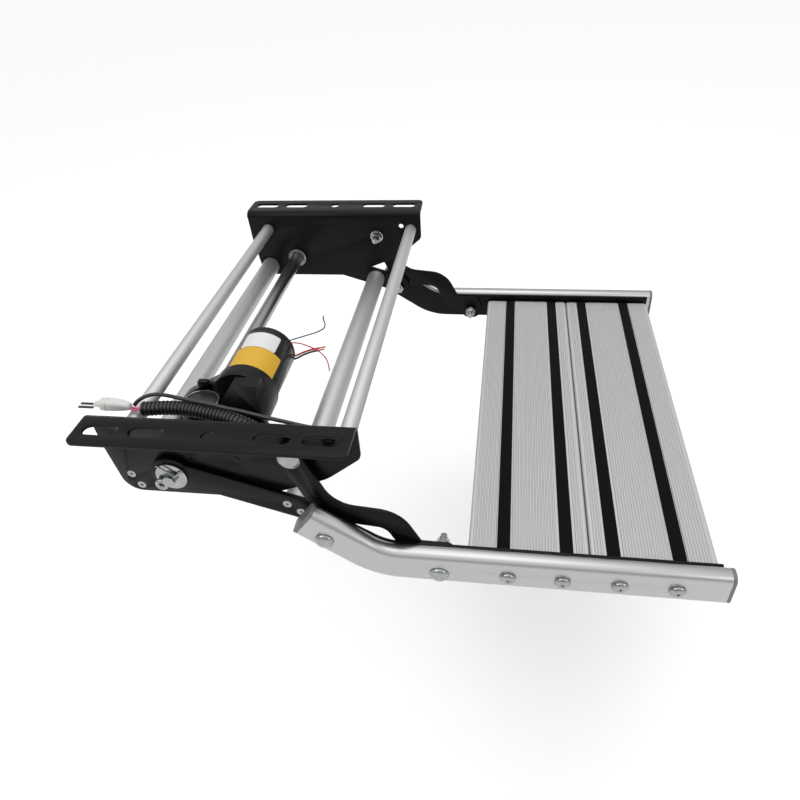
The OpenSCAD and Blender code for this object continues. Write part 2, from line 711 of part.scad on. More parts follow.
// Side rails: oval tube, straight, bent and straight again
rail_top_r = 8;
rail_low_r = 4;
function rail_outline(grow) =
    let (
        w = rail_w / 2 + grow,
        h = rail_h / 2 + grow,
        low = rail_low_r + grow,
        top = rail_top_r + grow
    )
    rounded([[-w, -h], [w, -h], [w, h], [-w, h]], [low, low, top, top], 5);
rail_mid = rail_in + rail_w / 2;
rail_run = rail_end_x - bend_x;
tail_start = bend_centre + rail_bend_r * [-sin(rail_bend), -cos(rail_bend)];
module on_tail() translate([tail_start.x, rail_mid, tail_start.y]) rotate([0, rail_bend, 0]) children();
module on_front() translate([bend_x, rail_mid, rail_z]) children();
module rail_prism(length, grow) rotate([90, 0, 90]) linear_extrude(length) polygon(rail_outline(grow));
bend_steps = 8;
rail_stations = concat(
    [[tail_start - rail_tail * [cos(rail_bend), -sin(rail_bend)], rail_bend]],
    [for (i = [bend_steps : -1 : 0])
        let (a = rail_bend * i / bend_steps)
        [bend_centre - rail_bend_r * [sin(a), cos(a)], a]],
    [[[rail_end_x, rail_z], 0]]
);
function rail_ring(station, grow) =
    [for (p = rail_outline(grow))
        [station[0].x + p.y * sin(station[1]), rail_mid + p.x, station[0].y + p.y * cos(station[1])]];
module rail_tube() {
    sides = len(rail_outline(0));
    rings = len(rail_stations);
    bore = rings * sides;
    last = bore - sides;
    polyhedron(
        points = concat(
            [for (station = rail_stations) each rail_ring(station, 0)],
            [for (station = rail_stations) each rail_ring(station, -rail_wall)]
        ),
        faces = concat(
            [for (f = skin(rings, sides)) [f[0], f[2], f[1]]],
            [for (f = skin(rings, sides)) [f[0] + bore, f[1] + bore, f[2] + bore]],
            [for (k = [0 : sides - 1]) let (n = (k + 1) % sides)
                each [[k, n, bore + n], [k, bore + n, bore + k]]],
            [for (k = [0 : sides - 1]) let (n = (k + 1) % sides)
                each [[last + k, bore + last + n, last + n], [last + k, bore + last + k, bore + last + n]]]
        )
    );
}
module rail() difference() {
    rail_tube();
    for (at = [pivot_c, pivot_d_at]) rod(at, pivot_d, rail_in - 1, rail_out + 1);
    for (x = screw_ports) rod([x, port_z], plank_screw_d, rail_in - 1, rail_out + 1);
}
module far_rail() color("#d5d7d9") rail();
module near_rail() color("#d5d7d9") near_side() rail();
cap_t = 4;
cap_plug = 8;
module rail_cap() {
    rail_prism(cap_t, 0);
    translate([-cap_plug, 0, 0]) rail_prism(cap_plug, -rail_wall - 2 * thread_fit);
}
module rail_caps() color("#5a5c5e") both_sides() {
    on_front() translate([rail_run, 0, 0]) rail_cap();
    on_tail() translate([-rail_tail, 0, 0]) rotate([0, 0, 180]) rail_cap();
}

// Bracket strips behind the rails
bracket_r = rail_bend_r + rail_rise - bracket_rise;
bracket_z = tread_pivot_z + bracket_rise;
bracket_slant = 10;
bracket_path = concat(
    [pivot_c],
    arc(bend_centre, bracket_r, 270 - rail_bend, rail_bend, 12),
    [[bracket_end_x, bracket_z]]
);
module bracket() difference() {
    union() {
        slab(bracket_in, bracket_out) polygon(ribbon(bracket_path, bracket_w / 2));
        rod(pivot_c, bracket_w + 1, bracket_in, bracket_out);
    }
    slab(bracket_in - 1, bracket_out + 1) polygon([
        [bracket_end_x - bracket_slant, bracket_z - bracket_w / 2 - 1],
        [bracket_end_x + 1, bracket_z - bracket_w / 6],
        [bracket_end_x + 1, bracket_z - bracket_w / 2 - 1]
    ]);
    for (at = [pivot_c, pivot_d_at]) rod(at, pivot_d, bracket_in - 1, bracket_out + 1);
    for (x = screw_ports) rod([x, port_z], plank_screw_d, bracket_in - 1, bracket_out + 1);
}
module far_bracket() color("#1b1b1c") bracket();
module near_bracket() color("#1b1b1c") near_side() bracket();

// Planks: ridged aluminium extrusions with two grooves and two screw ports
skin_t = 2.2;
groove_d = 1.6;
port_d = plank_screw_d + 6;
strips = [strip_first, strip_second];
ridges = floor((plank_w - 6) / ridge_pitch);
ridge_start = (plank_w - ridges * ridge_pitch) / 2;
strip_room = 0.6 * ridge_pitch;
function in_strip(x) =
    len([for (s = strips) if (x > s - strip_room && x < s + strip_w + strip_room) s]) > 0;
module plank_section() difference() {
    union() {
        polygon(rounded(
            [[0, -plank_t], [plank_w, -plank_t], [plank_w, -ridge_h], [0, -ridge_h]], [2, 2, 3, 3], 5));
        for (i = [0 : ridges - 1])
            let (x = ridge_start + i * ridge_pitch)
            if (!in_strip(x + ridge_pitch / 2))
                translate([x, -ridge_h - 0.1]) polygon([[0.2, 0], [ridge_pitch - 0.2, 0],
                    [ridge_pitch * 0.68, ridge_h + 0.1], [ridge_pitch * 0.32, ridge_h + 0.1]]);
    }
    for (s = strips) translate([s, -groove_d]) square([strip_w, groove_d + 1]);
    plank_rooms();
}
room_edges = [0, port_first, port_second, plank_w];
module plank_rooms() for (i = [0 : 2])
    let (
        left = i == 0 ? skin_t : room_edges[i] + port_d / 2 - 1,
        right = i == 2 ? plank_w - skin_t : room_edges[i + 1] - port_d / 2 + 1
    )
    translate([left, -plank_t + skin_t]) square([right - left, plank_t - 2 * skin_t - groove_d]);
module plank() difference() {
    slab(-plank_end, plank_end) plank_section();
    for (port = [port_first, port_second])
        rod([port, port_z - tread_z], plank_screw_d, -plank_end - 1, plank_end + 1);
}
module inner_plank() color("#c2c4c6") translate([first_plank_x, 0, tread_z]) plank();
module outer_plank() color("#c2c4c6") translate([tread_end_x, 0, tread_z]) mirror([1, 0, 0]) plank();
strip_t = 2.4;
module plank_strips() for (s = strips) slab(-plank_end, plank_end)
    translate([s + 0.05, -groove_d]) polygon(rounded(
        [[0, 0], [strip_w - 0.1, 0], [strip_w - 0.1, strip_t], [0, strip_t]], [0, 0, 0.8, 0.8], 4));
module inner_grip_strips() color("#1d1d1e") translate([first_plank_x, 0, tread_z]) plank_strips();
module outer_grip_strips() color("#1d1d1e") translate([tread_end_x, 0, tread_z]) mirror([1, 0, 0])
    plank_strips();
plank_screw_grip = 22;
module plank_screws() color("#c9cbcd") both_sides() for (x = screw_ports) pan_screw(
    [x, port_z], rail_out, plank_head_d, plank_screw_d - 2 * thread_fit,
    rail_out - plank_end + plank_screw_grip);
module plank_spacers() color("#1b1b1c") both_sides()
    for (x = screw_ports) difference() {
        rod([x, port_z], plank_screw_d + 5, plank_end, bracket_in);
        rod([x, port_z], plank_screw_d, plank_end - 1, bracket_in + 1);
    }

// Bolts between rail, link and arm
link_bolt_len = rail_out - link_in + side_gap + nut_h + 2;
module rail_bolts() color("#c4c6c8") both_sides() {
    pan_screw(pivot_c, rail_out, rail_head_d, pivot_d - 2 * running_fit, link_bolt_len);
    pan_screw(pivot_d_at, rail_out, rail_head_d, pivot_d - 2 * thread_fit, rail_out - bracket_in);
}
module link_nuts() color("#c4c6c8") both_sides() {
    hex_nut(pivot_c, nut_d, link_in - side_gap - nut_h, link_in - side_gap, pivot_d);
    difference() {
        rod(pivot_c, spacer_d, link_out + side_gap, bracket_in);
        rod(pivot_c, pivot_d, link_out - 1, bracket_in + 1);
    }
}
// Gear train: two equal gears, one on the reducer's shaft and one on the drive shaft
gear_turn = gear_slope;
module output_gear() color("#8a8d90") difference() {
    slab(gear_y, gear_y + gear_face) translate(pivot_a) polygon(gear_outline(gear_teeth, gear_turn));
    rod(pivot_a, shaft_d, gear_y - 1, gear_y + gear_face + 1);
}
module drive_pinion() color("#8a8d90") {
    slab(gear_y, gear_y + gear_face) translate(motor_at)
        polygon(gear_outline(gear_teeth, gear_turn + 180 + 180 / gear_teeth));
    rod(motor_at, pinion_shaft_d, chamber_inner_y - 2, gear_y);
    rod(motor_at, pinion_shaft_d, gear_y + gear_face, motor_start_y + 6);
}

// Motor: can with magnets, rotor and end cap, and the sealed reducer in the can's gearbox end
can_bore_d = motor_d - 2 * can_wall;
reducer_end_y = motor_start_y + reducer_len;
magnet_t = 6;
air_gap = 0.8;
rotor_y0 = reducer_end_y + 4;
rotor_y1 = can_end_y - 6;
cap_floor = 3;
end_cap_round = 2.5;
module reducer_unit() color("#77797c") difference() {
    rod(motor_at, can_bore_d, motor_start_y, reducer_end_y);
    rod(motor_at, pinion_shaft_d + 2 * running_fit, motor_start_y - 1, motor_start_y + 8);
    rod(motor_at, rotor_shaft_d + 2 * running_fit, reducer_end_y - 10, reducer_end_y + 1);
}
module motor_rotor() color("#a8642f") {
    rod(motor_at, can_bore_d - 2 * magnet_t - 2 * air_gap, rotor_y0, rotor_y1);
    rod(motor_at, rotor_shaft_d, reducer_end_y - 8, rotor_y0);
    rod(motor_at, rotor_shaft_d, rotor_y1, cap_end_y - cap_floor - 0.5);
}
module motor_can() color("#161617") difference() {
    rod(motor_at, motor_d, motor_start_y, can_end_y);
    rod(motor_at, can_bore_d, motor_start_y - 1, can_end_y + 1);
}
module motor_end_cap() color("#1a1a1b") difference() {
    union() {
        rod(motor_at, motor_d, can_end_y, cap_end_y - end_cap_round);
        cone(motor_at, motor_d, motor_d - 2 * end_cap_round, cap_end_y - end_cap_round, cap_end_y);
    }
    rod(motor_at, rotor_shaft_d + 2 * running_fit, can_end_y - 1, cap_end_y - cap_floor);
    wire_hole(black_wire_route, wire_d);
    wire_hole(red_wire_route, wire_d);
    wire_hole(black_lead_route, lead_d);
    wire_hole(red_lead_route, lead_d);
}
wire_hole_room = 0.3;
module wire_hole(route, d) translate(route[0] - [0, wire_hole_room, 0]) rotate([-90, 0, 0])
    cylinder(d = d + 2 * wire_hole_room, h = end_cap_len);
module motor_magnets() color("#3c3d3f") difference() {
    rod(motor_at, can_bore_d, rotor_y0 + 2, rotor_y1 - 2);
    rod(motor_at, can_bore_d - 2 * magnet_t, rotor_y0, rotor_y1);
    translate([motor_at.x - motor_d, rotor_y0, motor_at.y - 4]) cube([2 * motor_d, rotor_y1 - rotor_y0, 8]);
}
band_w = 2.5;
band_t = 2;
module motor_clamp_band() color("#c9cbcd") difference() {
    rod(motor_at, motor_d + 2 * band_t, motor_start_y, motor_start_y + band_w);
    rod(motor_at, motor_d, motor_start_y - 1, motor_start_y + band_w + 1);
}

// Gearbox: chamber round both gears, nose with its slanted flat, shaft sleeve and capped boss
module chamber_outline(r) polygon(round_bar(pivot_a, motor_at, r, r));
module nose_slope() translate([motor_at.x - nose_d, 0, 0]) rotate([90, 0, 90]) linear_extrude(2 * nose_d)
    polygon([
        [deck_start_y, 0], [deck_start_y, deck_z], [deck_edge_y, deck_z], [nose_y - 1, slope_end_z],
        [nose_y - 1, 0]
    ]);
module nose_flank() slab(nose_y - 1, deck_start_y) polygon([
    [cap_at.x + cap_d / 2, cap_top_z - cap_h], [deck_x[0] + 2, deck_z + 4],
    [cap_at.x, deck_z + 4], [cap_at.x, cap_top_z - cap_h]
]);
module nose_deck() translate([deck_x[0], 0, 0]) rotate([90, 0, 90]) linear_extrude(deck_x[1] - deck_x[0])
    polygon([
        [deck_start_y + 1, deck_z], [deck_edge_y, deck_z], [nose_y, slope_end_z + 1],
        [nose_y, motor_at.y - 8], [deck_start_y + 1, motor_at.y - 8]
    ]);
module cover_bosses(from, to) {
    for (at = chamber_screw_places) rod(at, cover_boss_d, from, to);
    for (at = nose_screw_places) slab(from, to)
        polygon(round_bar(motor_at, at, cover_boss_d / 2, cover_boss_d / 2));
}
module gearbox_housing() color("#141415") difference() {
    union() {
        slab(chamber_y, cover_y) chamber_outline(chamber_r);
        difference() {
            rod(motor_at, nose_d, nose_y, cover_y);
            nose_slope();
            nose_flank();
        }
        nose_deck();
        rod(pivot_a, sleeve_d, sleeve_y, cover_y);
        translate([cap_at.x, cap_at.y, pivot_a.y]) cylinder(d = cap_d + 2, h = cap_top_z - cap_h - pivot_a.y);
        translate([cap_at.x, sleeve_y + 8, pivot_a.y])
            cube([motor_at.x - cap_at.x, chamber_y - sleeve_y, 24]);
        cover_bosses(chamber_y, cover_y);
        translate([lug_at.x, lug_at.y, pivot_a.y]) cube([lug_size.x, lug_size.y, lug_top_z - pivot_a.y]);
    }
    translate([cap_at.x, cap_at.y, cap_top_z - cap_h]) cylinder(d = cap_d + 2 * thread_fit, h = motor_d);
    slab(chamber_inner_y, cover_y + 1) chamber_outline(chamber_r - gear_wall);
    rod(motor_at, pinion_shaft_d + 2 * running_fit, chamber_inner_y - 2.5, cover_y);
    rod(pivot_a, shaft_d + 2 * running_fit, sleeve_y - 1, cover_y + 1);
    for (at = cover_screw_places) rod(at, cover_screw_d, cover_y - 10, cover_y + 1);
    for (at = post_places) rod(at, screw_d, nose_y - 1, nose_y + 12);
}
module gearbox_cover() color("#171718") difference() {
    union() {
        slab(cover_y, motor_start_y) chamber_outline(chamber_r);
        rod(motor_at, nose_d, cover_y, motor_start_y);
        cover_bosses(cover_y, motor_start_y);
    }
    rod(pivot_a, shaft_d + 2 * running_fit, cover_y - 1, motor_start_y + 1);
    rod(motor_at, pinion_shaft_d + 2 * running_fit, cover_y - 1, motor_start_y + 1);
    for (at = cover_screw_places) rod(at, cover_screw_d, cover_y - 1, motor_start_y + 1);
}
module gearbox_screws() color("#2a2a2b") {
    for (at = cover_screw_places) {
        rod(at, cover_screw_d - 2 * thread_fit, cover_y - 9, motor_start_y);
        rod(at, 7, motor_start_y, motor_start_y + 3);
    }
    near_side() for (at = post_places) flat_screw(at, web_out);
}
module gearbox_posts() color("#2a2a2b") for (at = post_places) difference() {
    union() {
        rod(at, post_d, -web_in, nose_y);
        rod(at, screw_d - 2 * thread_fit, nose_y, nose_y + 11);
    }
    rod(at, screw_d, -web_in - 1, -web_in + 18);
}
module grease_cap() color("#161617") translate([cap_at.x, cap_at.y, cap_top_z - cap_h])
    cylinder(d = cap_d - 5, h = cap_h - 1);
module grease_cap_ring() color("#c9cbcd") translate([cap_at.x, cap_at.y, cap_top_z - cap_h]) difference() {
    cylinder(d = cap_d, h = cap_h);
    translate([0, 0, -1]) cylinder(d = cap_d - 5 + 2 * thread_fit, h = cap_h + 2);
}

// Wiring
module conduit() color("#161617") {
    p = smooth_route(conduit_route, 2 * ribs_per_step);
    sides = 8;
    rings = len(p);
    wall = 1.3;
    rib = 1.2;
    bore_start = rings * sides;
    outer = [for (i = [0 : rings - 1]) each ring(p, i, conduit_d / 2 - (i % 2 == 0 ? 0 : rib), sides)];
    bore = [for (i = [0 : rings - 1]) each ring(p, i, conduit_d / 2 - rib - wall, sides)];
    last = (rings - 1) * sides;
    bore_end = bore_start + last;
    polyhedron(points = concat(outer, bore), faces = concat(
        skin(rings, sides),
        [for (f = skin(rings, sides)) [f[0] + bore_start, f[2] + bore_start, f[1] + bore_start]],
        [for (k = [0 : sides - 1]) let (n = (k + 1) % sides)
            each [[k, bore_start + k, bore_start + n], [k, bore_start + n, n]]],
        [for (k = [0 : sides - 1]) let (n = (k + 1) % sides)
            each [[last + k, last + n, bore_end + n], [last + k, bore_end + n, bore_end + k]]]
    ));
}
module conduit_gland() color("#1f1f20") difference() {
    translate([motor_at.x, gland_at.x, gland_at.y]) rotate([0, 90, 0])
        cylinder(d = conduit_d + 3, h = gland_face_x - motor_at.x);
    rod(motor_at, nose_d, nose_y - 1, cover_y);
}
connector_body = [22, 14, 13];
connector_nose = [20, 12, 11];
blade = [18, 3.2, 1.2];
blade_side = 3;
blade_drop = 3;
module connector() color("#e9e8e4") translate(connector_at) {
    translate([0, -connector_body.y / 2, -connector_body.z / 2]) cube(connector_body);
    translate([-connector_nose.x, -connector_nose.y / 2, -connector_nose.z / 2]) cube(connector_nose);
}
module connector_blades() color("#4a4b4d") translate(connector_at) for (side = [-1, 1])
    translate([-connector_nose.x - blade.x, side * blade_side - blade.y / 2, -blade_drop - blade.z / 2])
        cube(blade);
connector_wire_d = 2.4;
connector_wire_side = 1.6;
module connector_wires() color("#d0305a") for (side = [-1, 1])
    cord([for (p = wire_route) p + [0, side * connector_wire_side, 0]], connector_wire_d);
module control_cable() color("#171718") cord(cable_route, cable_d, 2);
module cable_grommet() color("#202021") near_side() difference() {
    union() {
        rod(cable_hole_at, cable_hole_d, web_in, web_out);
        rod(cable_hole_at, cable_hole_d + 5, web_in - 1.5, web_in);
        rod(cable_hole_at, cable_hole_d + 5, web_out, web_out + 1.5);
    }
    rod(cable_hole_at, cable_d + 2 * wire_hole_room, web_in - 3, web_out + 3);
}
module motor_wire_black() color("#1a1a1b") cord(black_wire_route, wire_d, 2);
module motor_wire_red() color("#c0203a") cord(red_wire_route, wire_d, 2);
module motor_lead_black() color("#1a1a1b") cord(black_lead_route, lead_d, 2);
module motor_lead_red() color("#c81d2e") cord(red_lead_route, lead_d, 2);
bare_end = 9;
bare_end_d = 1.8;
module lead_ends() color("#b87333") for (route = [red_lead_route, black_lead_route])
    let (
        last = len(route) - 1,
        tip = route[last]
    )
    cord([tip, tip + bare_end * unit(tip - route[last - 1])], bare_end_d);

near_side_plate();
far_side_plate();
rear_upper_tube();
front_upper_tube();
rear_lower_tube();
upper_tube_screws();
lower_tube_screws();
shaft_bushes();
pivot_bolts();
pivot_spacers();
pivot_nuts();
motor_can();
motor_end_cap();
motor_magnets();
motor_clamp_band();
motor_rotor();
reducer_unit();
gearbox_housing();
gearbox_cover();
gearbox_screws();
gearbox_posts();
drive_pinion();
grease_cap();
grease_cap_ring();
drive_shaft();
output_gear();
near_link();
far_link();
tie_tube();
tie_tube_screws();
shaft_washers();
split_pins();
near_arm();
far_arm();
arm_nuts();
near_rail();
far_rail();
rail_caps();
near_bracket();
far_bracket();
inner_plank();
outer_plank();
inner_grip_strips();
outer_grip_strips();
plank_screws();
plank_spacers();
rail_bolts();
link_nuts();
conduit();
conduit_gland();
connector();
connector_blades();
connector_wires();
control_cable();
cable_grommet();
motor_wire_black();
motor_wire_red();
motor_lead_black();
motor_lead_red();
lead_ends();
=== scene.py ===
# %% [markdown]
# Caravan pull out step
#
# An electric entrance step bolts under a caravan's floor. Two black flanged plates carry cross tubes and
# a geared motor. The motor swings the links and arms, and they carry two aluminium planks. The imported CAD
# model is loaded first and stays fixed, so every piece below is made in the same frame, in metres.

# %% Load the fixed frame
import json
import math

import bpy
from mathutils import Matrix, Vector

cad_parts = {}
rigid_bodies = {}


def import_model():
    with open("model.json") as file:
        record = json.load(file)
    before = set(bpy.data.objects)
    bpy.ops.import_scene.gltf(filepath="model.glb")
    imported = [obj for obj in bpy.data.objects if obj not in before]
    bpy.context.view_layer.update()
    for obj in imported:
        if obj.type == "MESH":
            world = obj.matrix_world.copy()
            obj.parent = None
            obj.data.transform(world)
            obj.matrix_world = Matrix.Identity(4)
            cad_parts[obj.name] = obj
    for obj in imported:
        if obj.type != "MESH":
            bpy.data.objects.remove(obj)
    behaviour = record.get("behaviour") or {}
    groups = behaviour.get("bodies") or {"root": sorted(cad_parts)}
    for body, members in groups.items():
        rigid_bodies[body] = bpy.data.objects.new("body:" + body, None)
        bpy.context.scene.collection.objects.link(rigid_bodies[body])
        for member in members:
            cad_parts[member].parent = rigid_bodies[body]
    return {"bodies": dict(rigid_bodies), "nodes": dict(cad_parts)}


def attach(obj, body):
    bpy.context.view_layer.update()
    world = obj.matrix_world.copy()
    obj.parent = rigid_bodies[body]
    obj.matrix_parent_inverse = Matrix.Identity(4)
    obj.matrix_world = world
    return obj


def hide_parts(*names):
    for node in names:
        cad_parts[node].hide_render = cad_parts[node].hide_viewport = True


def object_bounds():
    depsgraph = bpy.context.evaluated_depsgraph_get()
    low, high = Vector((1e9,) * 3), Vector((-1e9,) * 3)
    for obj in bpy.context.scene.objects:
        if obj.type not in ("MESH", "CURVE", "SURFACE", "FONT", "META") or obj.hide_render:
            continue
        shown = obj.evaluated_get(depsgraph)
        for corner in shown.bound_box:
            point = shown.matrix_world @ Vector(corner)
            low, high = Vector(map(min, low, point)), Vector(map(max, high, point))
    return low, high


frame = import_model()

MM = 0.001
CAD_LOW, CAD_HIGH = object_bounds()
print("CAD box in mm:", [round((b - a) / MM) for a, b in zip(CAD_LOW, CAD_HIGH)])

# %% [markdown]
# Camera
#
# The camera comes first, because it decides which details show. Its place and turn were worked out from
# the straight edges and slots of the step, and its lens from how fast the parallel edges draw together.

# %% Camera
CAMERA_AT = (0.287125, -0.757308, 0.425339)
CAMERA_TURN_DEG = (51.9634, 3.5441, 8.1948)
CAMERA_LENS_MM = 30.21
CAMERA_SENSOR_MM = 36.0
CAMERA_CLIP_START = 0.01

bpy.ops.object.select_all(action="DESELECT")
bpy.ops.object.camera_add(location=CAMERA_AT, rotation=[math.radians(a) for a in CAMERA_TURN_DEG])
camera = bpy.context.object
camera.data.lens = CAMERA_LENS_MM
camera.data.sensor_width = CAMERA_SENSOR_MM
camera.data.clip_start = CAMERA_CLIP_START
bpy.context.scene.camera = camera
print("camera", camera.name, "lens", camera.data.lens)

# %% [markdown]
# Small tools
#
# Operators work on what is selected, so one helper selects a single object, and another selects some of
# its faces by a rule. A rule, such as the way a face looks, still holds when the mesh changes, and a list
# of face numbers would not.


# %% Selecting
def pick(piece):
    """Selects one object alone and makes it active."""
    bpy.ops.object.select_all(action="DESELECT")
    piece.select_set(True)
    bpy.context.view_layer.objects.active = piece


def select_faces(piece, wanted):
    """Selects the faces of a piece for which wanted(face) holds, and leaves it in edit mode."""
    pick(piece)
    bpy.ops.object.mode_set(mode="EDIT")
    bpy.ops.mesh.select_mode(type="FACE")
    bpy.ops.mesh.select_all(action="DESELECT")
    bpy.ops.object.mode_set(mode="OBJECT")
    for face in piece.data.polygons:
        face.select = wanted(face)
    bpy.ops.object.mode_set(mode="EDIT")


# %% [markdown]
# Copies with round edges
#
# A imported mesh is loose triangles, so a copy of it is merged first, and its flat faces are made whole. Then
# its sharp edges are rounded: no real edge is perfectly sharp, and the thin highlight on it is what makes
# metal look solid. They could be picked by hand, but a Bevel modifier finds them by their angle.

# %% Copying and rounding
MERGE_WITHIN = 0.003 * MM
FLAT_WITHIN_DEG = 0.6
SHARP_DEG = 38
EDGE_SEGMENTS = 2


def merged_copy(node, name):
    """A copy of a CAD node with its doubles merged and its flat faces whole."""
    piece = bpy.data.objects.new(name, frame["nodes"][node].data.copy())
    bpy.context.collection.objects.link(piece)
    pick(piece)
    bpy.ops.mesh.customdata_custom_splitnormals_clear()
    bpy.ops.object.mode_set(mode="EDIT")
    bpy.ops.mesh.select_all(action="SELECT")
    bpy.ops.mesh.remove_doubles(threshold=MERGE_WITHIN)
    bpy.ops.mesh.dissolve_limited(angle_limit=math.radians(FLAT_WITHIN_DEG))
    bpy.ops.object.mode_set(mode="OBJECT")
    return piece


def round_edges(piece, width_mm):
    """Rounds the sharp edges, unless the width is 0, then shades the rest smooth."""
    pick(piece)
    if width_mm:
        bevel = piece.modifiers.new("edges", "BEVEL")
        bevel.width = width_mm * MM
        bevel.segments = EDGE_SEGMENTS
        bevel.limit_method = "ANGLE"
        bevel.angle_limit = math.radians(SHARP_DEG)
        bpy.ops.object.modifier_apply(modifier="edges")
    bpy.ops.object.shade_smooth_by_angle(angle=math.radians(SHARP_DEG))


print("edges sharper than", SHARP_DEG, "degrees are rounded")

# %% [markdown]
# Bodies
#
# The step folds, so each piece rides on one moving body. A finished piece gets its material and its body
# in one go, and says which CAD nodes it stands for, so that those are hidden.


# %% Handing a piece to its body
def body_of(node):
    """The name of the body that carries a CAD node."""
    carrier = frame["nodes"][node].parent
    return next(name for name, empty in frame["bodies"].items() if empty == carrier)


def settle(piece, material, slot, body, stands_for=()):
    """Gives a finished piece its material and its body, and says which nodes it stands for."""
    piece.data.materials.clear()
    piece.data.materials.append(material)
    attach(piece, body)
    if stands_for:
        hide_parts(*stands_for)
    return piece


print("the tread's planks ride on", body_of("inner_plank"))

# %% [markdown]
# Materials
#
# Colours are written as the hex values a paint chart would give, and one function turns them into the
# linear light that the renderer works in. Another small function adds a shader node with its settings and
# its links. With these two, each finish below is a few lines that start from what the real surface is.


# %% Colour and node helpers
def colour(hex_value):
    """An sRGB hex value as linear RGBA."""
    parts = [int(hex_value[i : i + 2], 16) / 255 for i in (1, 3, 5)]
    linear = [c / 12.92 if c <= 0.04045 else ((c + 0.055) / 1.055) ** 2.4 for c in parts]
    return (*linear, 1.0)


def add_node(tree, kind, settings, links):
    """One shader node: settings are the values of its inputs, and links feed its inputs."""
    node = tree.nodes.new(kind)
    for socket, value in settings.items():
        node.inputs[socket].default_value = value
    for socket, output in links.items():
        tree.links.new(output, node.inputs[socket])
    return node


def finish(name, hex_value, roughness, metallic=0.0, **sockets):
    """A principled material with its plain values set on the shader's own sockets."""
    material = bpy.data.materials.new(name)
    material.use_nodes = True
    shader = material.node_tree.nodes["Principled BSDF"]
    shader.inputs["Base Color"].default_value = colour(hex_value)
    shader.inputs["Roughness"].default_value = roughness
    shader.inputs["Metallic"].default_value = metallic
    for socket, value in sockets.items():
        shader.inputs[socket.replace("_", " ")].default_value = value
    return material, material.node_tree, shader


print("middle grey in linear light:", round(colour("#808080")[0], 3))

# %% [markdown]
# Patterns
#
# No surface is quite even. A noise with a grain of a known size can make a value wander between two ends,
# or lift the surface by a small depth, and it can be drawn out along the way in which a bar was drawn. A
# picture of the surface could do the same, but noise has no seam and needs no file.

# %% Grain, variation and relief
RAMP_PLACES = (0.3, 0.7)


def grain(tree, size_mm, stretch=(1.0, 1.0, 1.0), detail=3.0):
    """Noise whose grain is size_mm wide, drawn out along an axis where stretch is below 1."""
    place = add_node(tree, "ShaderNodeTexCoord", {}, {})
    turned = add_node(tree, "ShaderNodeMapping", {"Scale": stretch}, {"Vector": place.outputs["Object"]})
    size = {"Scale": 1 / (size_mm * MM), "Detail": detail}
    return add_node(tree, "ShaderNodeTexNoise", size, {"Vector": turned.outputs["Vector"]})


def vary(tree, shader, socket, source, low, high):
    """Lets a socket wander between two values, or two colours, with a pattern."""
    ramp = add_node(tree, "ShaderNodeValToRGB", {}, {"Fac": source.outputs["Fac"]})
    for element, value, at in zip(ramp.color_ramp.elements, (low, high), RAMP_PLACES):
        element.position = at
        element.color = colour(value) if isinstance(value, str) else (value, value, value, 1.0)
    tree.links.new(ramp.outputs["Color"], shader.inputs[socket])


def emboss(tree, shader, source, depth_mm, strength):
    """Raises a pattern by a real depth."""
    settings = {"Strength": strength, "Distance": depth_mm * MM}
    bump = add_node(tree, "ShaderNodeBump", settings, {"Height": source.outputs["Fac"]})
    tree.links.new(bump.outputs["Normal"], shader.inputs["Normal"])


# %% [markdown]
# Painted and coated steel
#
# Powder coat is sprayed as dry powder and baked. It flows into a slightly pebbled skin, so highlights on
# it break up a little. The motor is sprayed with gloss enamel, and the gearbox is a painted casting whose
# mould grain shows through.


# %% Coats
def powder_coat():
    # Black polyester powder: a satin skin with an orange peel about 1.4 mm across
    material, tree, shader = finish("powder_coated_steel", "#070708", 0.32, Specular_IOR_Level=0.13)
    vary(tree, shader, "Roughness", grain(tree, size_mm=9.0), low=0.28, high=0.36)
    emboss(tree, shader, grain(tree, size_mm=1.4, detail=1.0), depth_mm=0.02, strength=0.4)
    return material


def motor_enamel():
    # Gloss black enamel on drawn sheet: smooth, with long soft waves from the drawing
    material, tree, shader = finish("gloss_enamel_on_sheet", "#060607", 0.24, Specular_IOR_Level=0.24)
    vary(tree, shader, "Roughness", grain(tree, size_mm=14.0), low=0.24, high=0.3)
    emboss(tree, shader, grain(tree, size_mm=5.0, detail=1.0), depth_mm=0.01, strength=0.2)
    return material


def painted_casting():
    # Black paint on a zinc casting: the mould's grain, 0.9 mm across, shows through
    material, tree, shader = finish("painted_casting", "#050506", 0.34, Specular_IOR_Level=0.17)
    vary(tree, shader, "Roughness", grain(tree, size_mm=6.0), low=0.28, high=0.4)
    emboss(tree, shader, grain(tree, size_mm=0.9, detail=2.0), depth_mm=0.04, strength=0.4)
    return material


POWDER_COAT = powder_coat()
MOTOR_ENAMEL = motor_enamel()
PAINTED_CASTING = painted_casting()
print("coats made:", POWDER_COAT.name, MOTOR_ENAMEL.name, PAINTED_CASTING.name)

# %% [markdown]
# Bare metals
#
# Aluminium leaves the press with fine draw lines along its length. The lines are finer than a pixel here,
# so they are drawn about 0.8 mm wide, just wide enough to break up the reflection. Zinc plating on the
# fasteners is brighter and has a faint crystal mottling.

# %% Metals
ALONG_X, ALONG_Y = 0, 1
DRAW_LINE_MM = 0.8
DRAW_STRETCH = 500


def drawn_metal(name, hex_value, roughness, along):
    # Drawn or extruded bar: satin, with lines that are far longer along one axis than they are wide
    material, tree, shader = finish(name, hex_value, roughness, metallic=1.0)
    stretch = [1 / DRAW_STRETCH if axis == along else 1.0 for axis in range(3)]
    lines = grain(tree, DRAW_LINE_MM, stretch)
    vary(tree, shader, "Roughness", lines, low=roughness - 0.03, high=roughness + 0.03)
    return material


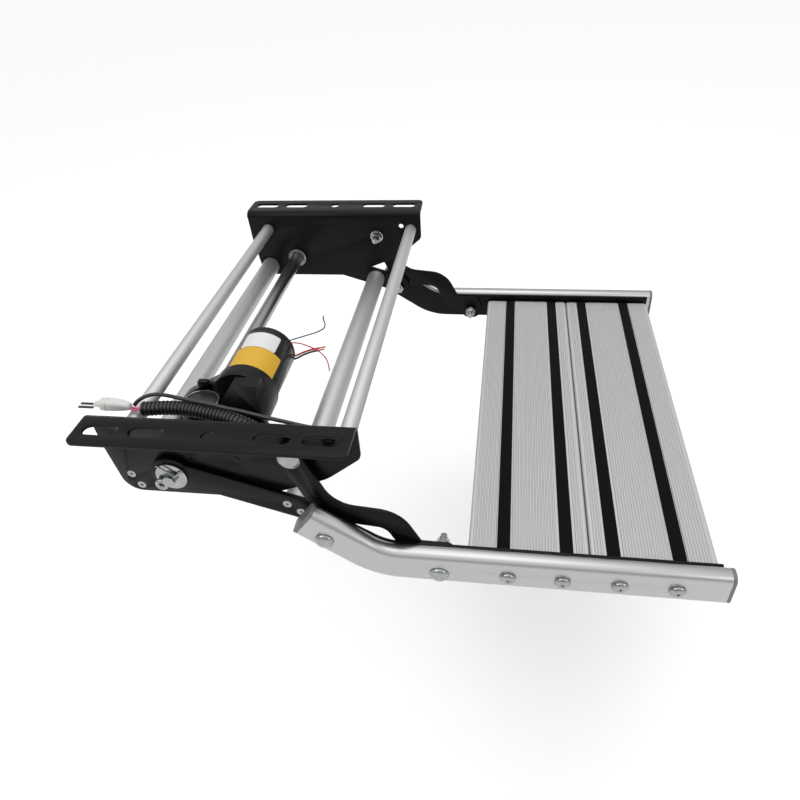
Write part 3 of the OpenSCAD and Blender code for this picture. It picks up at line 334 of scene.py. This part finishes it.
def plated_steel(name, light, dark, roughness):
    # Plated or bright steel: a faint crystal mottling about 6 mm across
    material, tree, shader = finish(name, light, roughness, metallic=1.0)
    mottle = grain(tree, size_mm=6.0)
    vary(tree, shader, "Base Color", mottle, low=dark, high=light)
    vary(tree, shader, "Roughness", mottle, low=roughness - 0.03, high=roughness + 0.04)
    return material


def copper():
    # Drawn copper strand, lightly tarnished: warm, with darker patches about 1.5 mm across
    material, tree, shader = finish("drawn_copper", "#c77a4f", 0.3, metallic=1.0)
    vary(tree, shader, "Base Color", grain(tree, size_mm=1.5), low="#a85f3c", high="#dc9468")
    return material


RAIL_ALUMINIUM = drawn_metal("anodised_rail_aluminium", "#b0b0b0", 0.34, ALONG_X)
PLANK_ALUMINIUM = drawn_metal("extruded_plank_aluminium", "#bcbcbc", 0.62, ALONG_Y)
TUBE_ALUMINIUM = drawn_metal("drawn_tube_aluminium", "#bebfc0", 0.58, ALONG_Y)
ZINC = plated_steel("zinc_plated_steel", "#a2a4a6", "#909294", 0.16)
SHAFT_STEEL = drawn_metal("bright_drawn_steel", "#9b9c9e", 0.3, ALONG_Y)
GEAR_STEEL = plated_steel("oiled_gear_steel", "#8a8b8c", "#6c6d6e", 0.3)
TINNED_BRASS = plated_steel("tinned_brass", "#514f4b", "#3d3b38", 0.3)
COPPER = copper()
print("materials so far:", len(bpy.data.materials))

# %% [markdown]
# Rubber, plastics and wire
#
# The grip strips are black rubber: very rough, so they stay dark beside the bright planks. The connector
# is nylon in its natural milky white, which lets a little light in. Wire skins are PVC, smooth and waxy.

# %% Soft and moulded finishes
NYLON_GLOW = (0.002, 0.002, 0.002)


def rubber():
    # Extruded EPDM: matte, with a fine dusty grain about 0.7 mm across
    material, tree, shader = finish("extruded_rubber", "#040404", 0.72, Specular_IOR_Level=0.07)
    dust = grain(tree, size_mm=0.7)
    vary(tree, shader, "Base Color", dust, low="#040405", high="#09090a")
    emboss(tree, shader, dust, depth_mm=0.03, strength=0.6)
    return material


def moulded(name, hex_value, roughness, **sockets):
    # Injection moulded plastic: a fine spark-eroded mould texture about 0.5 mm across
    material, tree, shader = finish(name, hex_value, roughness, **sockets)
    texture = grain(tree, size_mm=0.5)
    vary(tree, shader, "Roughness", texture, low=roughness - 0.06, high=roughness + 0.1)
    emboss(tree, shader, texture, depth_mm=0.01, strength=0.4)
    return material


def wire_skin(name, dark, light):
    # Extruded PVC: waxy, with slow changes of shade along the wire
    material, tree, shader = finish(name, light, 0.34)
    vary(tree, shader, "Base Color", grain(tree, size_mm=6.0), low=dark, high=light)
    return material


RUBBER = rubber()
CAP_PLASTIC = moulded("moulded_cap_plastic", "#646567", 0.42)
BLACK_PLASTIC = moulded("black_polyamide", "#161617", 0.42)
WHITE_NYLON = moulded(
    "natural_nylon", "#bdbdbb", 0.36, Subsurface_Weight=0.08, Subsurface_Radius=NYLON_GLOW
)
PINK_SKIN = wire_skin("pink_pvc", "#b53a62", "#d9799a")
RED_SKIN = wire_skin("red_pvc", "#9c1515", "#c62222")
BLACK_SKIN = wire_skin("black_pvc", "#101011", "#1d1d1e")
WHITE_FILM = moulded("white_label_film", "#c6c6c7", 0.4)
YELLOW_FILM = moulded("yellow_label_film", "#c0950c", 0.4)
print("materials made:", len(bpy.data.materials))

# %% [markdown]
# Cords
#
# The wires and the cable are lengths of something flexible, so each is one smooth open curve through a few
# points chosen along its real way, with a round section. A mesh could be extruded from point to point, but
# a curve stays round in every bend and knows its own length. The control cable leaves the connector, lies
# over the ribbed conduit and goes through a rubber grommet in the near plate. The motor's wires end bare.

# %% Routes in millimetres
CABLE_ROUTE = [
    (-112, -231, -15), (-109, -229, -12), (-104, -226, -9), (-98, -223, -7.5), (-89, -221, -6.5),
    (-80, -222, -6), (-71, -224, -5.5), (-57, -228, -5), (-38, -232, -5), (-19, -236, -5.2), (0, -240, -6),
    (18, -243, -7), (36, -247, -8), (51, -250, -9), (68, -252, -11), (84, -253, -14), (98, -252, -18),
    (108, -252, -22), (113, -254, -24), (114, -259, -24), (114, -264, -24),
]
BLACK_WIRE_ROUTE = [
    (11, -61.5, -40.5), (11, -59.4, -40.5), (12, -57.6, -40.1), (14.5, -57, -39.2), (22, -57, -36.5),
    (31.4, -57, -33.2), (40, -57, -30.1), (48.7, -57, -27), (56.3, -57, -23.1), (61.2, -57, -19.3),
    (63.1, -57, -13.7), (62, -57, -6), (62.8, -57, -1.8),
]
RED_WIRE_ROUTE = [
    (11, -61.5, -44), (11, -59.4, -44), (12, -57.6, -43.8), (14.5, -57, -43.4), (19, -57, -43.3),
    (25.3, -57.5, -43.6), (36.2, -59, -46.3), (46.1, -60, -50.6), (54, -60, -57.4), (58.5, -60, -65.1),
    (60.2, -60, -72.9), (60.4, -60, -84.3),
]
RED_LEAD_ROUTE = [
    (9, -61.5, -66), (9, -59, -66), (10.2, -56.8, -65.8), (13, -55.8, -65), (16.6, -55.8, -64.2),
    (27, -55.8, -59.1), (39, -55.8, -54.2), (46, -55.8, -52.4), (50.4, -55.8, -51.2),
]
BLACK_LEAD_ROUTE = [
    (9, -61.5, -70.5), (9, -59, -70.5), (10.2, -56.8, -70.4), (13, -55.8, -69.9), (16.4, -55.8, -68.8),
    (26.4, -55.8, -63.2), (38.5, -55.8, -57.8), (44.5, -55.8, -56.1), (48.5, -55.8, -55),
]
print("the control cable's route has", len(CABLE_ROUTE), "points")

# %% A curve through a route
CORD_STEPS = 8
CORD_SHARP_DEG = 40


def cord_curve(name, route, diameter_mm, roundness=3):
    """One open, smooth curve with a round section through the points of a route."""
    curve = bpy.data.curves.new(name, "CURVE")
    curve.dimensions = "3D"
    curve.bevel_depth = diameter_mm / 2 * MM
    curve.bevel_resolution = roundness
    curve.use_fill_caps = True
    spline = curve.splines.new("BEZIER")
    spline.resolution_u = CORD_STEPS
    spline.bezier_points.add(len(route) - 1)
    for knot, place in zip(spline.bezier_points, route):
        knot.co = Vector(place) * MM
        knot.handle_left_type = "AUTO"
        knot.handle_right_type = "AUTO"
    piece = bpy.data.objects.new(name, curve)
    bpy.context.collection.objects.link(piece)
    return piece


# %% Cable, wires and leads
CORDS = [
    ("control_cable", CABLE_ROUTE, 4.4, BLACK_SKIN, "black_wire", "object", "medium"),
    ("motor_wire_black", BLACK_WIRE_ROUTE, 1.6, BLACK_SKIN, "black_wire", "bare", "stiff"),
    ("motor_wire_red", RED_WIRE_ROUTE, 1.6, RED_SKIN, "red_wire", "bare", "stiff"),
    ("motor_lead_red", RED_LEAD_ROUTE, 2.6, RED_SKIN, "red_wire", "bare", "stiff"),
    ("motor_lead_black", BLACK_LEAD_ROUTE, 2.6, BLACK_SKIN, "black_wire", "bare", "stiff"),
]
for node, route, diameter, material, slot, far_end, stiffness in CORDS:
    cord = settle(cord_curve(node + "_skin", route, diameter), material, slot, "frame", [node])
    length = cord.data.splines[0].calc_length()
    tuple(Vector(route[0]) * MM)
    print(cord.name, "is", round(length / MM), "mm long")

# %% [markdown]
# Ribbed conduit
#
# The conduit is a corrugated tube. Bump in its material could hint at the ribs, but they show in its
# outline, so they are modelled. The route gives the length, and the length gives the pitch of the ribs.

# %% Conduit's route and pitch
CONDUIT_ROUTE = [
    (-100, -236, -15.5), (-88, -235, -15), (-72, -233, -15), (-56, -233, -15), (-40, -235, -15),
    (-20, -239, -15.5), (0, -244, -16), (20, -249, -19), (36, -250, -28), (46, -245, -43), (51, -234, -57),
    (52, -218, -66), (47, -204, -70), (36, -200, -70), (22, -200, -70),
]
CONDUIT_D = 15.0
CONDUIT_RIBS = 55

guide = cord_curve("conduit_guide", CONDUIT_ROUTE, 0)
conduit_length = guide.data.splines[0].calc_length()
rib_pitch = conduit_length / CONDUIT_RIBS
print("conduit", round(conduit_length / MM), "mm long, a rib every", round(rib_pitch / MM, 2), "mm")

# %% [markdown]
# One rib is drawn as a ring that is pulled along and scaled. Each pair in its profile is a share of the
# pitch and a share of the conduit's radius.

# %% One rib
RIB_ROOT = 0.78
RIB_PROFILE = [
    (0.0, RIB_ROOT), (0.18, 0.80), (0.32, 0.97), (0.5, 1.0), (0.66, 0.97), (0.8, 0.80), (1.0, RIB_ROOT),
]
CONDUIT_SIDES = 20


def pull_section(step, grow, centre):
    """Extrudes the selected section by a step, then scales it about its new centre."""
    bpy.ops.mesh.extrude_region_move(TRANSFORM_OT_translate={"value": step})
    bpy.ops.transform.resize(value=grow, center_override=centre)


bpy.ops.object.select_all(action="DESELECT")
rib_start = CONDUIT_D / 2 * RIB_ROOT * MM
bpy.ops.mesh.primitive_circle_add(vertices=CONDUIT_SIDES, radius=rib_start, rotation=(0, math.pi / 2, 0))
bpy.ops.object.transform_apply(location=False, rotation=True, scale=False)
conduit = bpy.context.object
conduit.name = "conduit_ribbed"
bpy.ops.object.mode_set(mode="EDIT")
for (along_before, size_before), (along, size) in zip(RIB_PROFILE, RIB_PROFILE[1:]):
    grow = size / size_before
    step = ((along - along_before) * rib_pitch, 0, 0)
    pull_section(step, (1, grow, grow), (along * rib_pitch, 0, 0))
bpy.ops.object.mode_set(mode="OBJECT")
print("one rib has", len(conduit.data.polygons), "faces")

# %% [markdown]
# An Array repeats the rib, a Curve modifier bends the straight tube along its route, and a Solidify gives
# it a wall. The guide's points are kept, and the guide itself is removed.

# %% Whole conduit
CONDUIT_WALL = 0.7 * MM
RIB_MERGE_WITHIN = 0.02 * MM


def turn_faces_outward():
    """Turns the faces of the active mesh outward and leaves edit mode."""
    bpy.ops.object.mode_set(mode="EDIT")
    bpy.ops.mesh.select_all(action="SELECT")
    bpy.ops.mesh.normals_make_consistent(inside=False)
    bpy.ops.object.mode_set(mode="OBJECT")


row = conduit.modifiers.new("row", "ARRAY")
row.count = CONDUIT_RIBS
row.use_relative_offset = False
row.use_constant_offset = True
row.constant_offset_displace = (rib_pitch, 0, 0)
row.use_merge_vertices = True
row.merge_threshold = RIB_MERGE_WITHIN
bend = conduit.modifiers.new("bend", "CURVE")
bend.object = guide
wall = conduit.modifiers.new("wall", "SOLIDIFY")
wall.thickness = CONDUIT_WALL
wall.offset = -1.0
for modifier in ("row", "bend", "wall"):
    bpy.ops.object.modifier_apply(modifier=modifier)
turn_faces_outward()
bpy.ops.object.shade_smooth_by_angle(angle=math.radians(CORD_SHARP_DEG))
conduit_path = [tuple(point.co) for point in reversed(guide.to_mesh().vertices)]
bpy.data.objects.remove(guide)
settle(conduit, BLACK_PLASTIC, "black_plastic", "frame", ["conduit"])
print("conduit has", CONDUIT_RIBS, "ribs and", len(conduit.data.polygons), "faces")

# %% [markdown]
# Dressed solids
#
# The CAD solids already have the right shapes, so most pieces are merged copies whose edges are rounded by
# the amount such a part has: a lasered plate about half a millimetre, a casting more than one.

# %% Rounded copies, with the width of the edges in millimetres
DRESSED = [
    ("near_side_plate", 0.7, POWDER_COAT, "black_coat"),
    ("far_side_plate", 0.7, POWDER_COAT, "black_coat"),
    ("near_link", 0.6, POWDER_COAT, "black_coat"),
    ("far_link", 0.6, POWDER_COAT, "black_coat"),
    ("near_arm", 0.9, POWDER_COAT, "black_coat"),
    ("far_arm", 0.9, POWDER_COAT, "black_coat"),
    ("near_bracket", 0.5, POWDER_COAT, "black_coat"),
    ("far_bracket", 0.5, POWDER_COAT, "black_coat"),
    ("rear_upper_tube", 0.3, TUBE_ALUMINIUM, "satin_aluminium"),
    ("front_upper_tube", 0.3, TUBE_ALUMINIUM, "satin_aluminium"),
    ("rear_lower_tube", 0.3, TUBE_ALUMINIUM, "satin_aluminium"),
    ("tie_tube", 0.3, TUBE_ALUMINIUM, "satin_aluminium"),
    ("drive_shaft", 0.6, SHAFT_STEEL, "zinc_steel"),
    ("near_rail", 0.25, RAIL_ALUMINIUM, "satin_aluminium"),
    ("far_rail", 0.25, RAIL_ALUMINIUM, "satin_aluminium"),
    ("rail_caps", 0.6, CAP_PLASTIC, "cap_grey"),
    ("inner_grip_strips", 0.4, RUBBER, "grip_black"),
    ("outer_grip_strips", 0.4, RUBBER, "grip_black"),
    ("motor_can", 0.6, MOTOR_ENAMEL, "motor_black"),
    ("motor_end_cap", 1.0, MOTOR_ENAMEL, "motor_black"),
    ("motor_clamp_band", 0.3, MOTOR_ENAMEL, "motor_black"),
    ("gearbox_housing", 1.4, PAINTED_CASTING, "casting_black"),
    ("gearbox_cover", 0.6, PAINTED_CASTING, "casting_black"),
    ("gearbox_posts", 0.5, PAINTED_CASTING, "casting_black"),
    ("gearbox_screws", 0.3, POWDER_COAT, "black_coat"),
    ("grease_cap", 0.8, BLACK_PLASTIC, "black_plastic"),
    ("grease_cap_ring", 0.4, ZINC, "zinc_steel"),
    ("conduit_gland", 0.6, BLACK_PLASTIC, "black_plastic"),
    ("connector_blades", 0.2, TINNED_BRASS, "zinc_steel"),
    ("cable_grommet", 0.5, RUBBER, "grip_black"),
    ("shaft_bushes", 0.3, GEAR_STEEL, "gear_steel"),
    ("shaft_washers", 0.3, ZINC, "zinc_steel"),
    ("split_pins", 0.0, ZINC, "zinc_steel"),
    ("pivot_bolts", 0.4, ZINC, "zinc_steel"),
    ("pivot_spacers", 0.3, ZINC, "zinc_steel"),
    ("pivot_nuts", 0.4, ZINC, "zinc_steel"),
    ("arm_nuts", 0.4, ZINC, "zinc_steel"),
    ("link_nuts", 0.4, ZINC, "zinc_steel"),
    ("rail_bolts", 0.4, ZINC, "zinc_steel"),
    ("plank_spacers", 0.3, ZINC, "zinc_steel"),
]
for node, edge, material, slot in DRESSED:
    piece = merged_copy(node, node + "_dressed")
    round_edges(piece, edge)
    settle(piece, material, slot, body_of(node), [node])
print("dressed", len(DRESSED), "nodes")

# %% [markdown]
# The planks, and the pieces sealed inside the motor and the gearbox, keep their CAD meshes and only change
# their finish. The planks' fine ridges are in their meshes already, and the sealed pieces are out of sight.

# %% Finishes on the solids that stay
KEPT = {
    "inner_plank": PLANK_ALUMINIUM,
    "outer_plank": PLANK_ALUMINIUM,
    "motor_magnets": GEAR_STEEL,
    "motor_rotor": COPPER,
    "reducer_unit": GEAR_STEEL,
    "drive_pinion": GEAR_STEEL,
    "output_gear": GEAR_STEEL,
}
for node, material in KEPT.items():
    solid = frame["nodes"][node]
    solid.data.materials.clear()
    solid.data.materials.append(material)
print("kept", len(KEPT), "solids")

# %% [markdown]
# Cross-head screws
#
# The screws in the rails and tubes have a pan head with a cross recess. The dome is the CAD solid's own,
# and two crossed bars, narrower at the bottom as the driver is, cut the recess with a Boolean. Half of each
# bar's length stands out of the head.

# %% Cutting a cross recess
RECESS_DEPTH = 2.2 * MM
RECESS_SPAN = 5.4 * MM
RECESS_BAR = 1.3 * MM
RECESS_TAPER = 0.5
FACING = 0.9


def cross_cutter(at, outward):
    """Two crossed, tapered bars that reach into a head from its face at the point at."""
    bpy.ops.object.select_all(action="DESELECT")
    bars = []
    for span_x, span_z in ((RECESS_SPAN, RECESS_BAR), (RECESS_BAR, RECESS_SPAN)):
        bpy.ops.mesh.primitive_cube_add(size=1, location=at)
        bar = bpy.context.object
        bar.scale = (span_x, RECESS_DEPTH * 2, span_z)
        bpy.ops.object.transform_apply(location=True, rotation=False, scale=True)
        select_faces(bar, lambda face: face.normal.y * outward < -FACING)
        bpy.ops.transform.resize(value=(RECESS_TAPER, 1, RECESS_TAPER), center_override=at)
        bpy.ops.object.mode_set(mode="OBJECT")
        bars.append(bar)
    return bars


def cut_recesses(piece, places):
    """Cuts a cross recess at each place, a point on a head's face and the way the head faces along y."""
    for at, outward in places:
        for bar in cross_cutter(at, outward):
            pick(piece)
            cut = piece.modifiers.new("cut", "BOOLEAN")
            cut.object = bar
            cut.solver = "EXACT"
            bpy.ops.object.modifier_apply(modifier="cut")
            bpy.data.objects.remove(bar)


print("a recess is", round(RECESS_SPAN / MM, 1), "mm across and", round(RECESS_DEPTH / MM, 1), "mm deep")

# %% [markdown]
# One node holds several screws. Vertices that edges join belong to the same screw, so the loose parts of
# the mesh are gathered first. A head's face is then at the outer end of each part.


# %% Screws with a cross recess
def islands(piece):
    """The low and the high corner of each loose part of a mesh."""
    mesh = piece.data
    parent = list(range(len(mesh.vertices)))

    def root(i):
        while parent[i] != i:
            parent[i] = parent[parent[i]]
            i = parent[i]
        return i

    for edge in mesh.edges:
        parent[root(edge.vertices[0])] = root(edge.vertices[1])
    groups = {}
    for vertex in mesh.vertices:
        groups.setdefault(root(vertex.index), []).append(vertex.co)
    for points in groups.values():
        low = Vector([min(p[k] for p in points) for k in range(3)])
        high = Vector([max(p[k] for p in points) for k in range(3)])
        yield low, high


for node in ("plank_screws", "upper_tube_screws", "lower_tube_screws", "tie_tube_screws"):
    piece = merged_copy(node, node + "_dressed")
    places = []
    for low, high in islands(piece):
        outward = -1 if low.y + high.y < 0 else 1
        face_y = low.y if outward < 0 else high.y
        places.append((((low.x + high.x) / 2, face_y, (low.z + high.z) / 2), outward))
    cut_recesses(piece, places)
    round_edges(piece, 0.0)
    settle(piece, ZINC, "zinc_steel", body_of(node), [node])
    print(node, "has", len(places), "cross recesses")

# %% [markdown]
# Connector shell
#
# A two-part nylon shell: a plug pushed into a socket, which narrows where the wires enter. It starts as a
# square with rounded corners, and is pulled along, scaled and lifted from section to section. A bevelled
# box would be quicker, but it has one width all along. A section is its place along x, half its width, and
# its low and high z, in millimetres.

# %% First section of the connector
CONNECTOR_SECTIONS = [
    (-154.5, 3.6, -13.4, -8.6), (-148.4, 4.6, -14.0, -7.8), (-147.6, 5.6, -16.0, -5.6),
    (-146.4, 6.6, -17.0, -4.8), (-139.4, 7.0, -17.4, -4.5), (-138.9, 6.3, -16.6, -5.3),
    (-138.1, 6.3, -16.6, -5.3), (-137.6, 7.0, -17.4, -4.5), (-130.0, 6.7, -17.2, -5.0),
    (-123.0, 6.0, -17.0, -6.0), (-117.0, 4.9, -16.6, -7.8), (-113.5, 4.0, -16.0, -9.4),
    (-113.0, 3.2, -15.4, -10.2),
]
CONNECTOR_Y = -236.0
CONNECTOR_CORNER = 0.7
CONNECTOR_EDGE = 0.3
CORNER_SEGMENTS = 4

x, half, low, high = CONNECTOR_SECTIONS[0]
centre = Vector((x, CONNECTOR_Y, (low + high) / 2)) * MM
bpy.ops.object.select_all(action="DESELECT")
bpy.ops.mesh.primitive_plane_add(size=2 * half * MM, location=centre, rotation=(0, math.pi / 2, 0))
bpy.ops.object.transform_apply(location=True, rotation=True, scale=False)
shell = bpy.context.object
shell.name = "connector_shell"
bpy.ops.object.mode_set(mode="EDIT")
bpy.ops.mesh.select_all(action="SELECT")
bpy.ops.mesh.bevel(offset=half * CONNECTOR_CORNER * MM, segments=CORNER_SEGMENTS, affect="VERTICES")
bpy.ops.mesh.select_all(action="SELECT")
squash = (high - low) / (2 * half)
bpy.ops.transform.resize(value=(1, 1, squash), center_override=centre)
print("the connector starts", round(2 * half, 1), "mm wide and", round(high - low, 1), "mm high")

# %% Rest of the connector
for before, after in zip(CONNECTOR_SECTIONS, CONNECTOR_SECTIONS[1:]):
    x_before, half_before, low_before, high_before = before
    x, half, low, high = after
    middle = (low + high) / 2
    lift = middle - (low_before + high_before) / 2
    step = Vector((x - x_before, 0, lift)) * MM
    grow = (1, half / half_before, (high - low) / (high_before - low_before))
    pull_section(step, grow, Vector((x, CONNECTOR_Y, middle)) * MM)
turn_faces_outward()
round_edges(shell, CONNECTOR_EDGE)
settle(shell, WHITE_NYLON, "white_plastic", "frame", ["connector"])
print("connector shell", len(shell.data.polygons), "faces")

# %% [markdown]
# Short wires and copper ends
#
# Two pink wires run from the connector into the conduit. They hang between the two.

# %% Pink wires
PINK_ROUTE = [(-113, -236, -15.5), (-108, -236, -16), (-103, -236, -15.5), (-98, -236, -15.5)]
PINK_OFFSET = 1.6
PINK_D = 2.4


def joined(pieces, name):
    """Curves turned into meshes and joined into one piece."""
    bpy.ops.object.select_all(action="DESELECT")
    for piece in pieces:
        piece.select_set(True)
    bpy.context.view_layer.objects.active = pieces[0]
    bpy.ops.object.convert(target="MESH")
    bpy.ops.object.join()
    whole = bpy.context.object
    whole.name = name
    bpy.ops.object.shade_smooth_by_angle(angle=math.radians(CORD_SHARP_DEG))
    return whole


pink = []
for side in (-1, 1):
    route = [(x, y + side * PINK_OFFSET, z) for x, y, z in PINK_ROUTE]
    pink.append(cord_curve("pink_wire", route, PINK_D))
pink_wires = settle(joined(pink, "pink_wires"), PINK_SKIN, "pink_wire", "frame", ["connector_wires"])
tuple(conduit_path[0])
print("pink wires", len(pink_wires.data.polygons), "faces")

# %% [markdown]
# The motor's two leads end in bare copper. Each end is a few strands laid round each other, which spread a
# little towards the tip and start inside the skin. Every strand is a curve, and all are joined as one mesh.

# %% Copper strands
STRANDS = 6
STRAND_POINTS = 6
STRAND_D = 0.6
STRAND_LENGTH = 9.0
STRAND_TURNS = 0.6
STRAND_SPREAD = 0.25
STRAND_INSIDE = 0.4

strands = []
for route in (RED_LEAD_ROUTE, BLACK_LEAD_ROUTE):
    tip, before = Vector(route[-1]), Vector(route[-2])
    ahead = (tip - before).normalized()
    across = ahead.cross(Vector((0, 1, 0))).normalized()
    up = across.cross(ahead)
    for index in range(STRANDS):
        points = []
        for step in range(STRAND_POINTS):
            share = step / (STRAND_POINTS - 1)
            angle = 2 * math.pi * (index / STRANDS + STRAND_TURNS * share)
            reach = STRAND_D * (1 + STRAND_SPREAD * share)
            offset = across * (math.cos(angle) * reach) + up * (math.sin(angle) * reach)
            points.append(tip + ahead * (STRAND_LENGTH * share - STRAND_INSIDE) + offset)
        strands.append(cord_curve("strand", points, STRAND_D, roundness=1))
settle(joined(strands, "copper_strands"), COPPER, "copper_winding", "frame", ["lead_ends"])
print(len(strands), "copper strands")

# %% [markdown]
# Blank labels on the motor
#
# Two film labels are stuck on the upper side of the motor: a white one and a yellow one. They are bare. A
# flat sheet could be bent round the can, but a cylinder has the right curve from the start, so one is made
# just outside the can, and all its faces but those of the label are deleted. A label is its name, its two
# ends along y in millimetres, the two angles it spans in degrees, and its film.

# %% Label helpers
MOTOR_AXIS_X, MOTOR_AXIS_Z = -16.023, -51.832
CAN_R = 35.0
LABEL_LIFT = 0.12
LABEL_STEPS = 72
LABEL_CORNER = 2.6
LABEL_FILM = 0.1
LABEL_SHARP_DEG = 30


def wrapped_sheet(name, y_near, y_far, start_deg, end_deg):
    """A sheet round the motor's can, between two places along it and two angles round it."""
    centre = Vector((MOTOR_AXIS_X, (y_near + y_far) / 2, MOTOR_AXIS_Z)) * MM
    bpy.ops.object.select_all(action="DESELECT")
    bpy.ops.mesh.primitive_cylinder_add(
        vertices=LABEL_STEPS,
        radius=(CAN_R + LABEL_LIFT) * MM,
        depth=(y_far - y_near) * MM,
        end_fill_type="NOTHING",
        location=centre,
        rotation=(math.pi / 2, 0, 0),
    )
    bpy.ops.object.transform_apply(location=True, rotation=True, scale=False)
    sheet = bpy.context.object
    sheet.name = name

    def outside(face):
        angle = math.degrees(math.atan2(face.center.z - centre.z, face.center.x - centre.x))
        return not start_deg < angle < end_deg

    select_faces(sheet, outside)
    bpy.ops.mesh.delete(type="FACE")
    bpy.ops.mesh.select_mode(type="VERT")
    bpy.ops.object.mode_set(mode="OBJECT")
    return sheet


def round_corners(sheet):
    """Rounds the four corners of a sheet, which are where only two edges meet."""
    ends = [vertex for edge in sheet.data.edges for vertex in edge.vertices]
    for vertex in sheet.data.vertices:
        vertex.select = ends.count(vertex.index) == 2
    bpy.ops.object.mode_set(mode="EDIT")
    bpy.ops.mesh.bevel(offset=LABEL_CORNER * MM, segments=CORNER_SEGMENTS, affect="VERTICES")
    bpy.ops.object.mode_set(mode="OBJECT")


# %% Labels
LABELS = [
    ("white_label", -106.4, -75.0, 47, 120, WHITE_FILM),
    ("yellow_label", -147.2, -107.0, 25, 126, YELLOW_FILM),
]
for name, y_near, y_far, start_deg, end_deg, material in LABELS:
    label = wrapped_sheet(name, y_near, y_far, start_deg, end_deg)
    round_corners(label)
    film = label.modifiers.new("film", "SOLIDIFY")
    film.thickness = LABEL_FILM * MM
    film.offset = -1.0
    bpy.ops.object.modifier_apply(modifier="film")
    bpy.ops.object.shade_smooth_by_angle(angle=math.radians(LABEL_SHARP_DEG))
    settle(label, material, "white_plastic", "frame")
    print(name, len(label.data.polygons), "faces")

# %% [markdown]
# Floor and light
#
# The step hangs under a floor in use, so the pale ground here lies well below it, clear of the folding
# tread. Large soft lamps give long gentle highlights on the black coat and the rounded rails. A lamp is its
# name, its place and its width in metres, and its power in watts.

# %% Floor and lamps
GROUND_DROP = 0.35
GROUND_SIZE = 60
LAMPS = [
    ("key", (-0.9, -1.0, 1.3), 0.9, 7),
    ("top", (0.35, 0.35, 1.6), 1.4, 7),
    ("side", (1.9, -0.9, 0.7), 0.8, 5),
]
AIM = Vector((0.15, 0.0, -0.1))

bpy.ops.object.select_all(action="DESELECT")
bpy.ops.mesh.primitive_plane_add(size=GROUND_SIZE, location=(0, 0, CAD_LOW.z - GROUND_DROP))
ground = bpy.context.object
ground.name = "ground"
PALE_GROUND = finish("pale_ground", "#f6f6f5", 0.9)[0]
ground.data.materials.append(PALE_GROUND)
for name, at, size, power in LAMPS:
    bpy.ops.object.light_add(type="AREA", location=at)
    lamp = bpy.context.object
    lamp.name = name
    lamp.data.size = size
    lamp.data.energy = power
    lamp.rotation_euler = (AIM - Vector(at)).to_track_quat("-Z", "Y").to_euler()
print("lamps", len(LAMPS))

# %% [markdown]
# The room is bright overhead and greyer towards the horizon, as a studio with a white ceiling is. The
# ground is then evenly white, and upright metal faces still have something darker to mirror. Each pair is
# a share of the way from straight down to straight up, and the light that comes from there.

# %% Room
SKY_BY_HEIGHT = [(0.5, 0.42), (0.65, 0.62), (0.8, 0.95), (1.0, 1.45)]
world = bpy.data.worlds.new("soft_room")
world.use_nodes = True
sky = world.node_tree
direction = add_node(sky, "ShaderNodeTexCoord", {}, {})
height = add_node(sky, "ShaderNodeSeparateXYZ", {}, {"Vector": direction.outputs["Generated"]})
share = add_node(sky, "ShaderNodeMapRange", {"From Min": -1.0}, {"Value": height.outputs["Z"]})
shade = add_node(sky, "ShaderNodeValToRGB", {}, {"Fac": share.outputs["Result"]})
while len(shade.color_ramp.elements) < len(SKY_BY_HEIGHT):
    shade.color_ramp.elements.new(0.5)
for element, (at, light) in zip(shade.color_ramp.elements, SKY_BY_HEIGHT):
    element.position = at
    element.color = (light, light, light, 1.0)
sky.links.new(shade.outputs["Color"], sky.nodes["Background"].inputs["Color"])
bpy.context.scene.world = world
bpy.context.scene.view_settings.view_transform = "Standard"
print("room with", len(SKY_BY_HEIGHT), "steps of light")
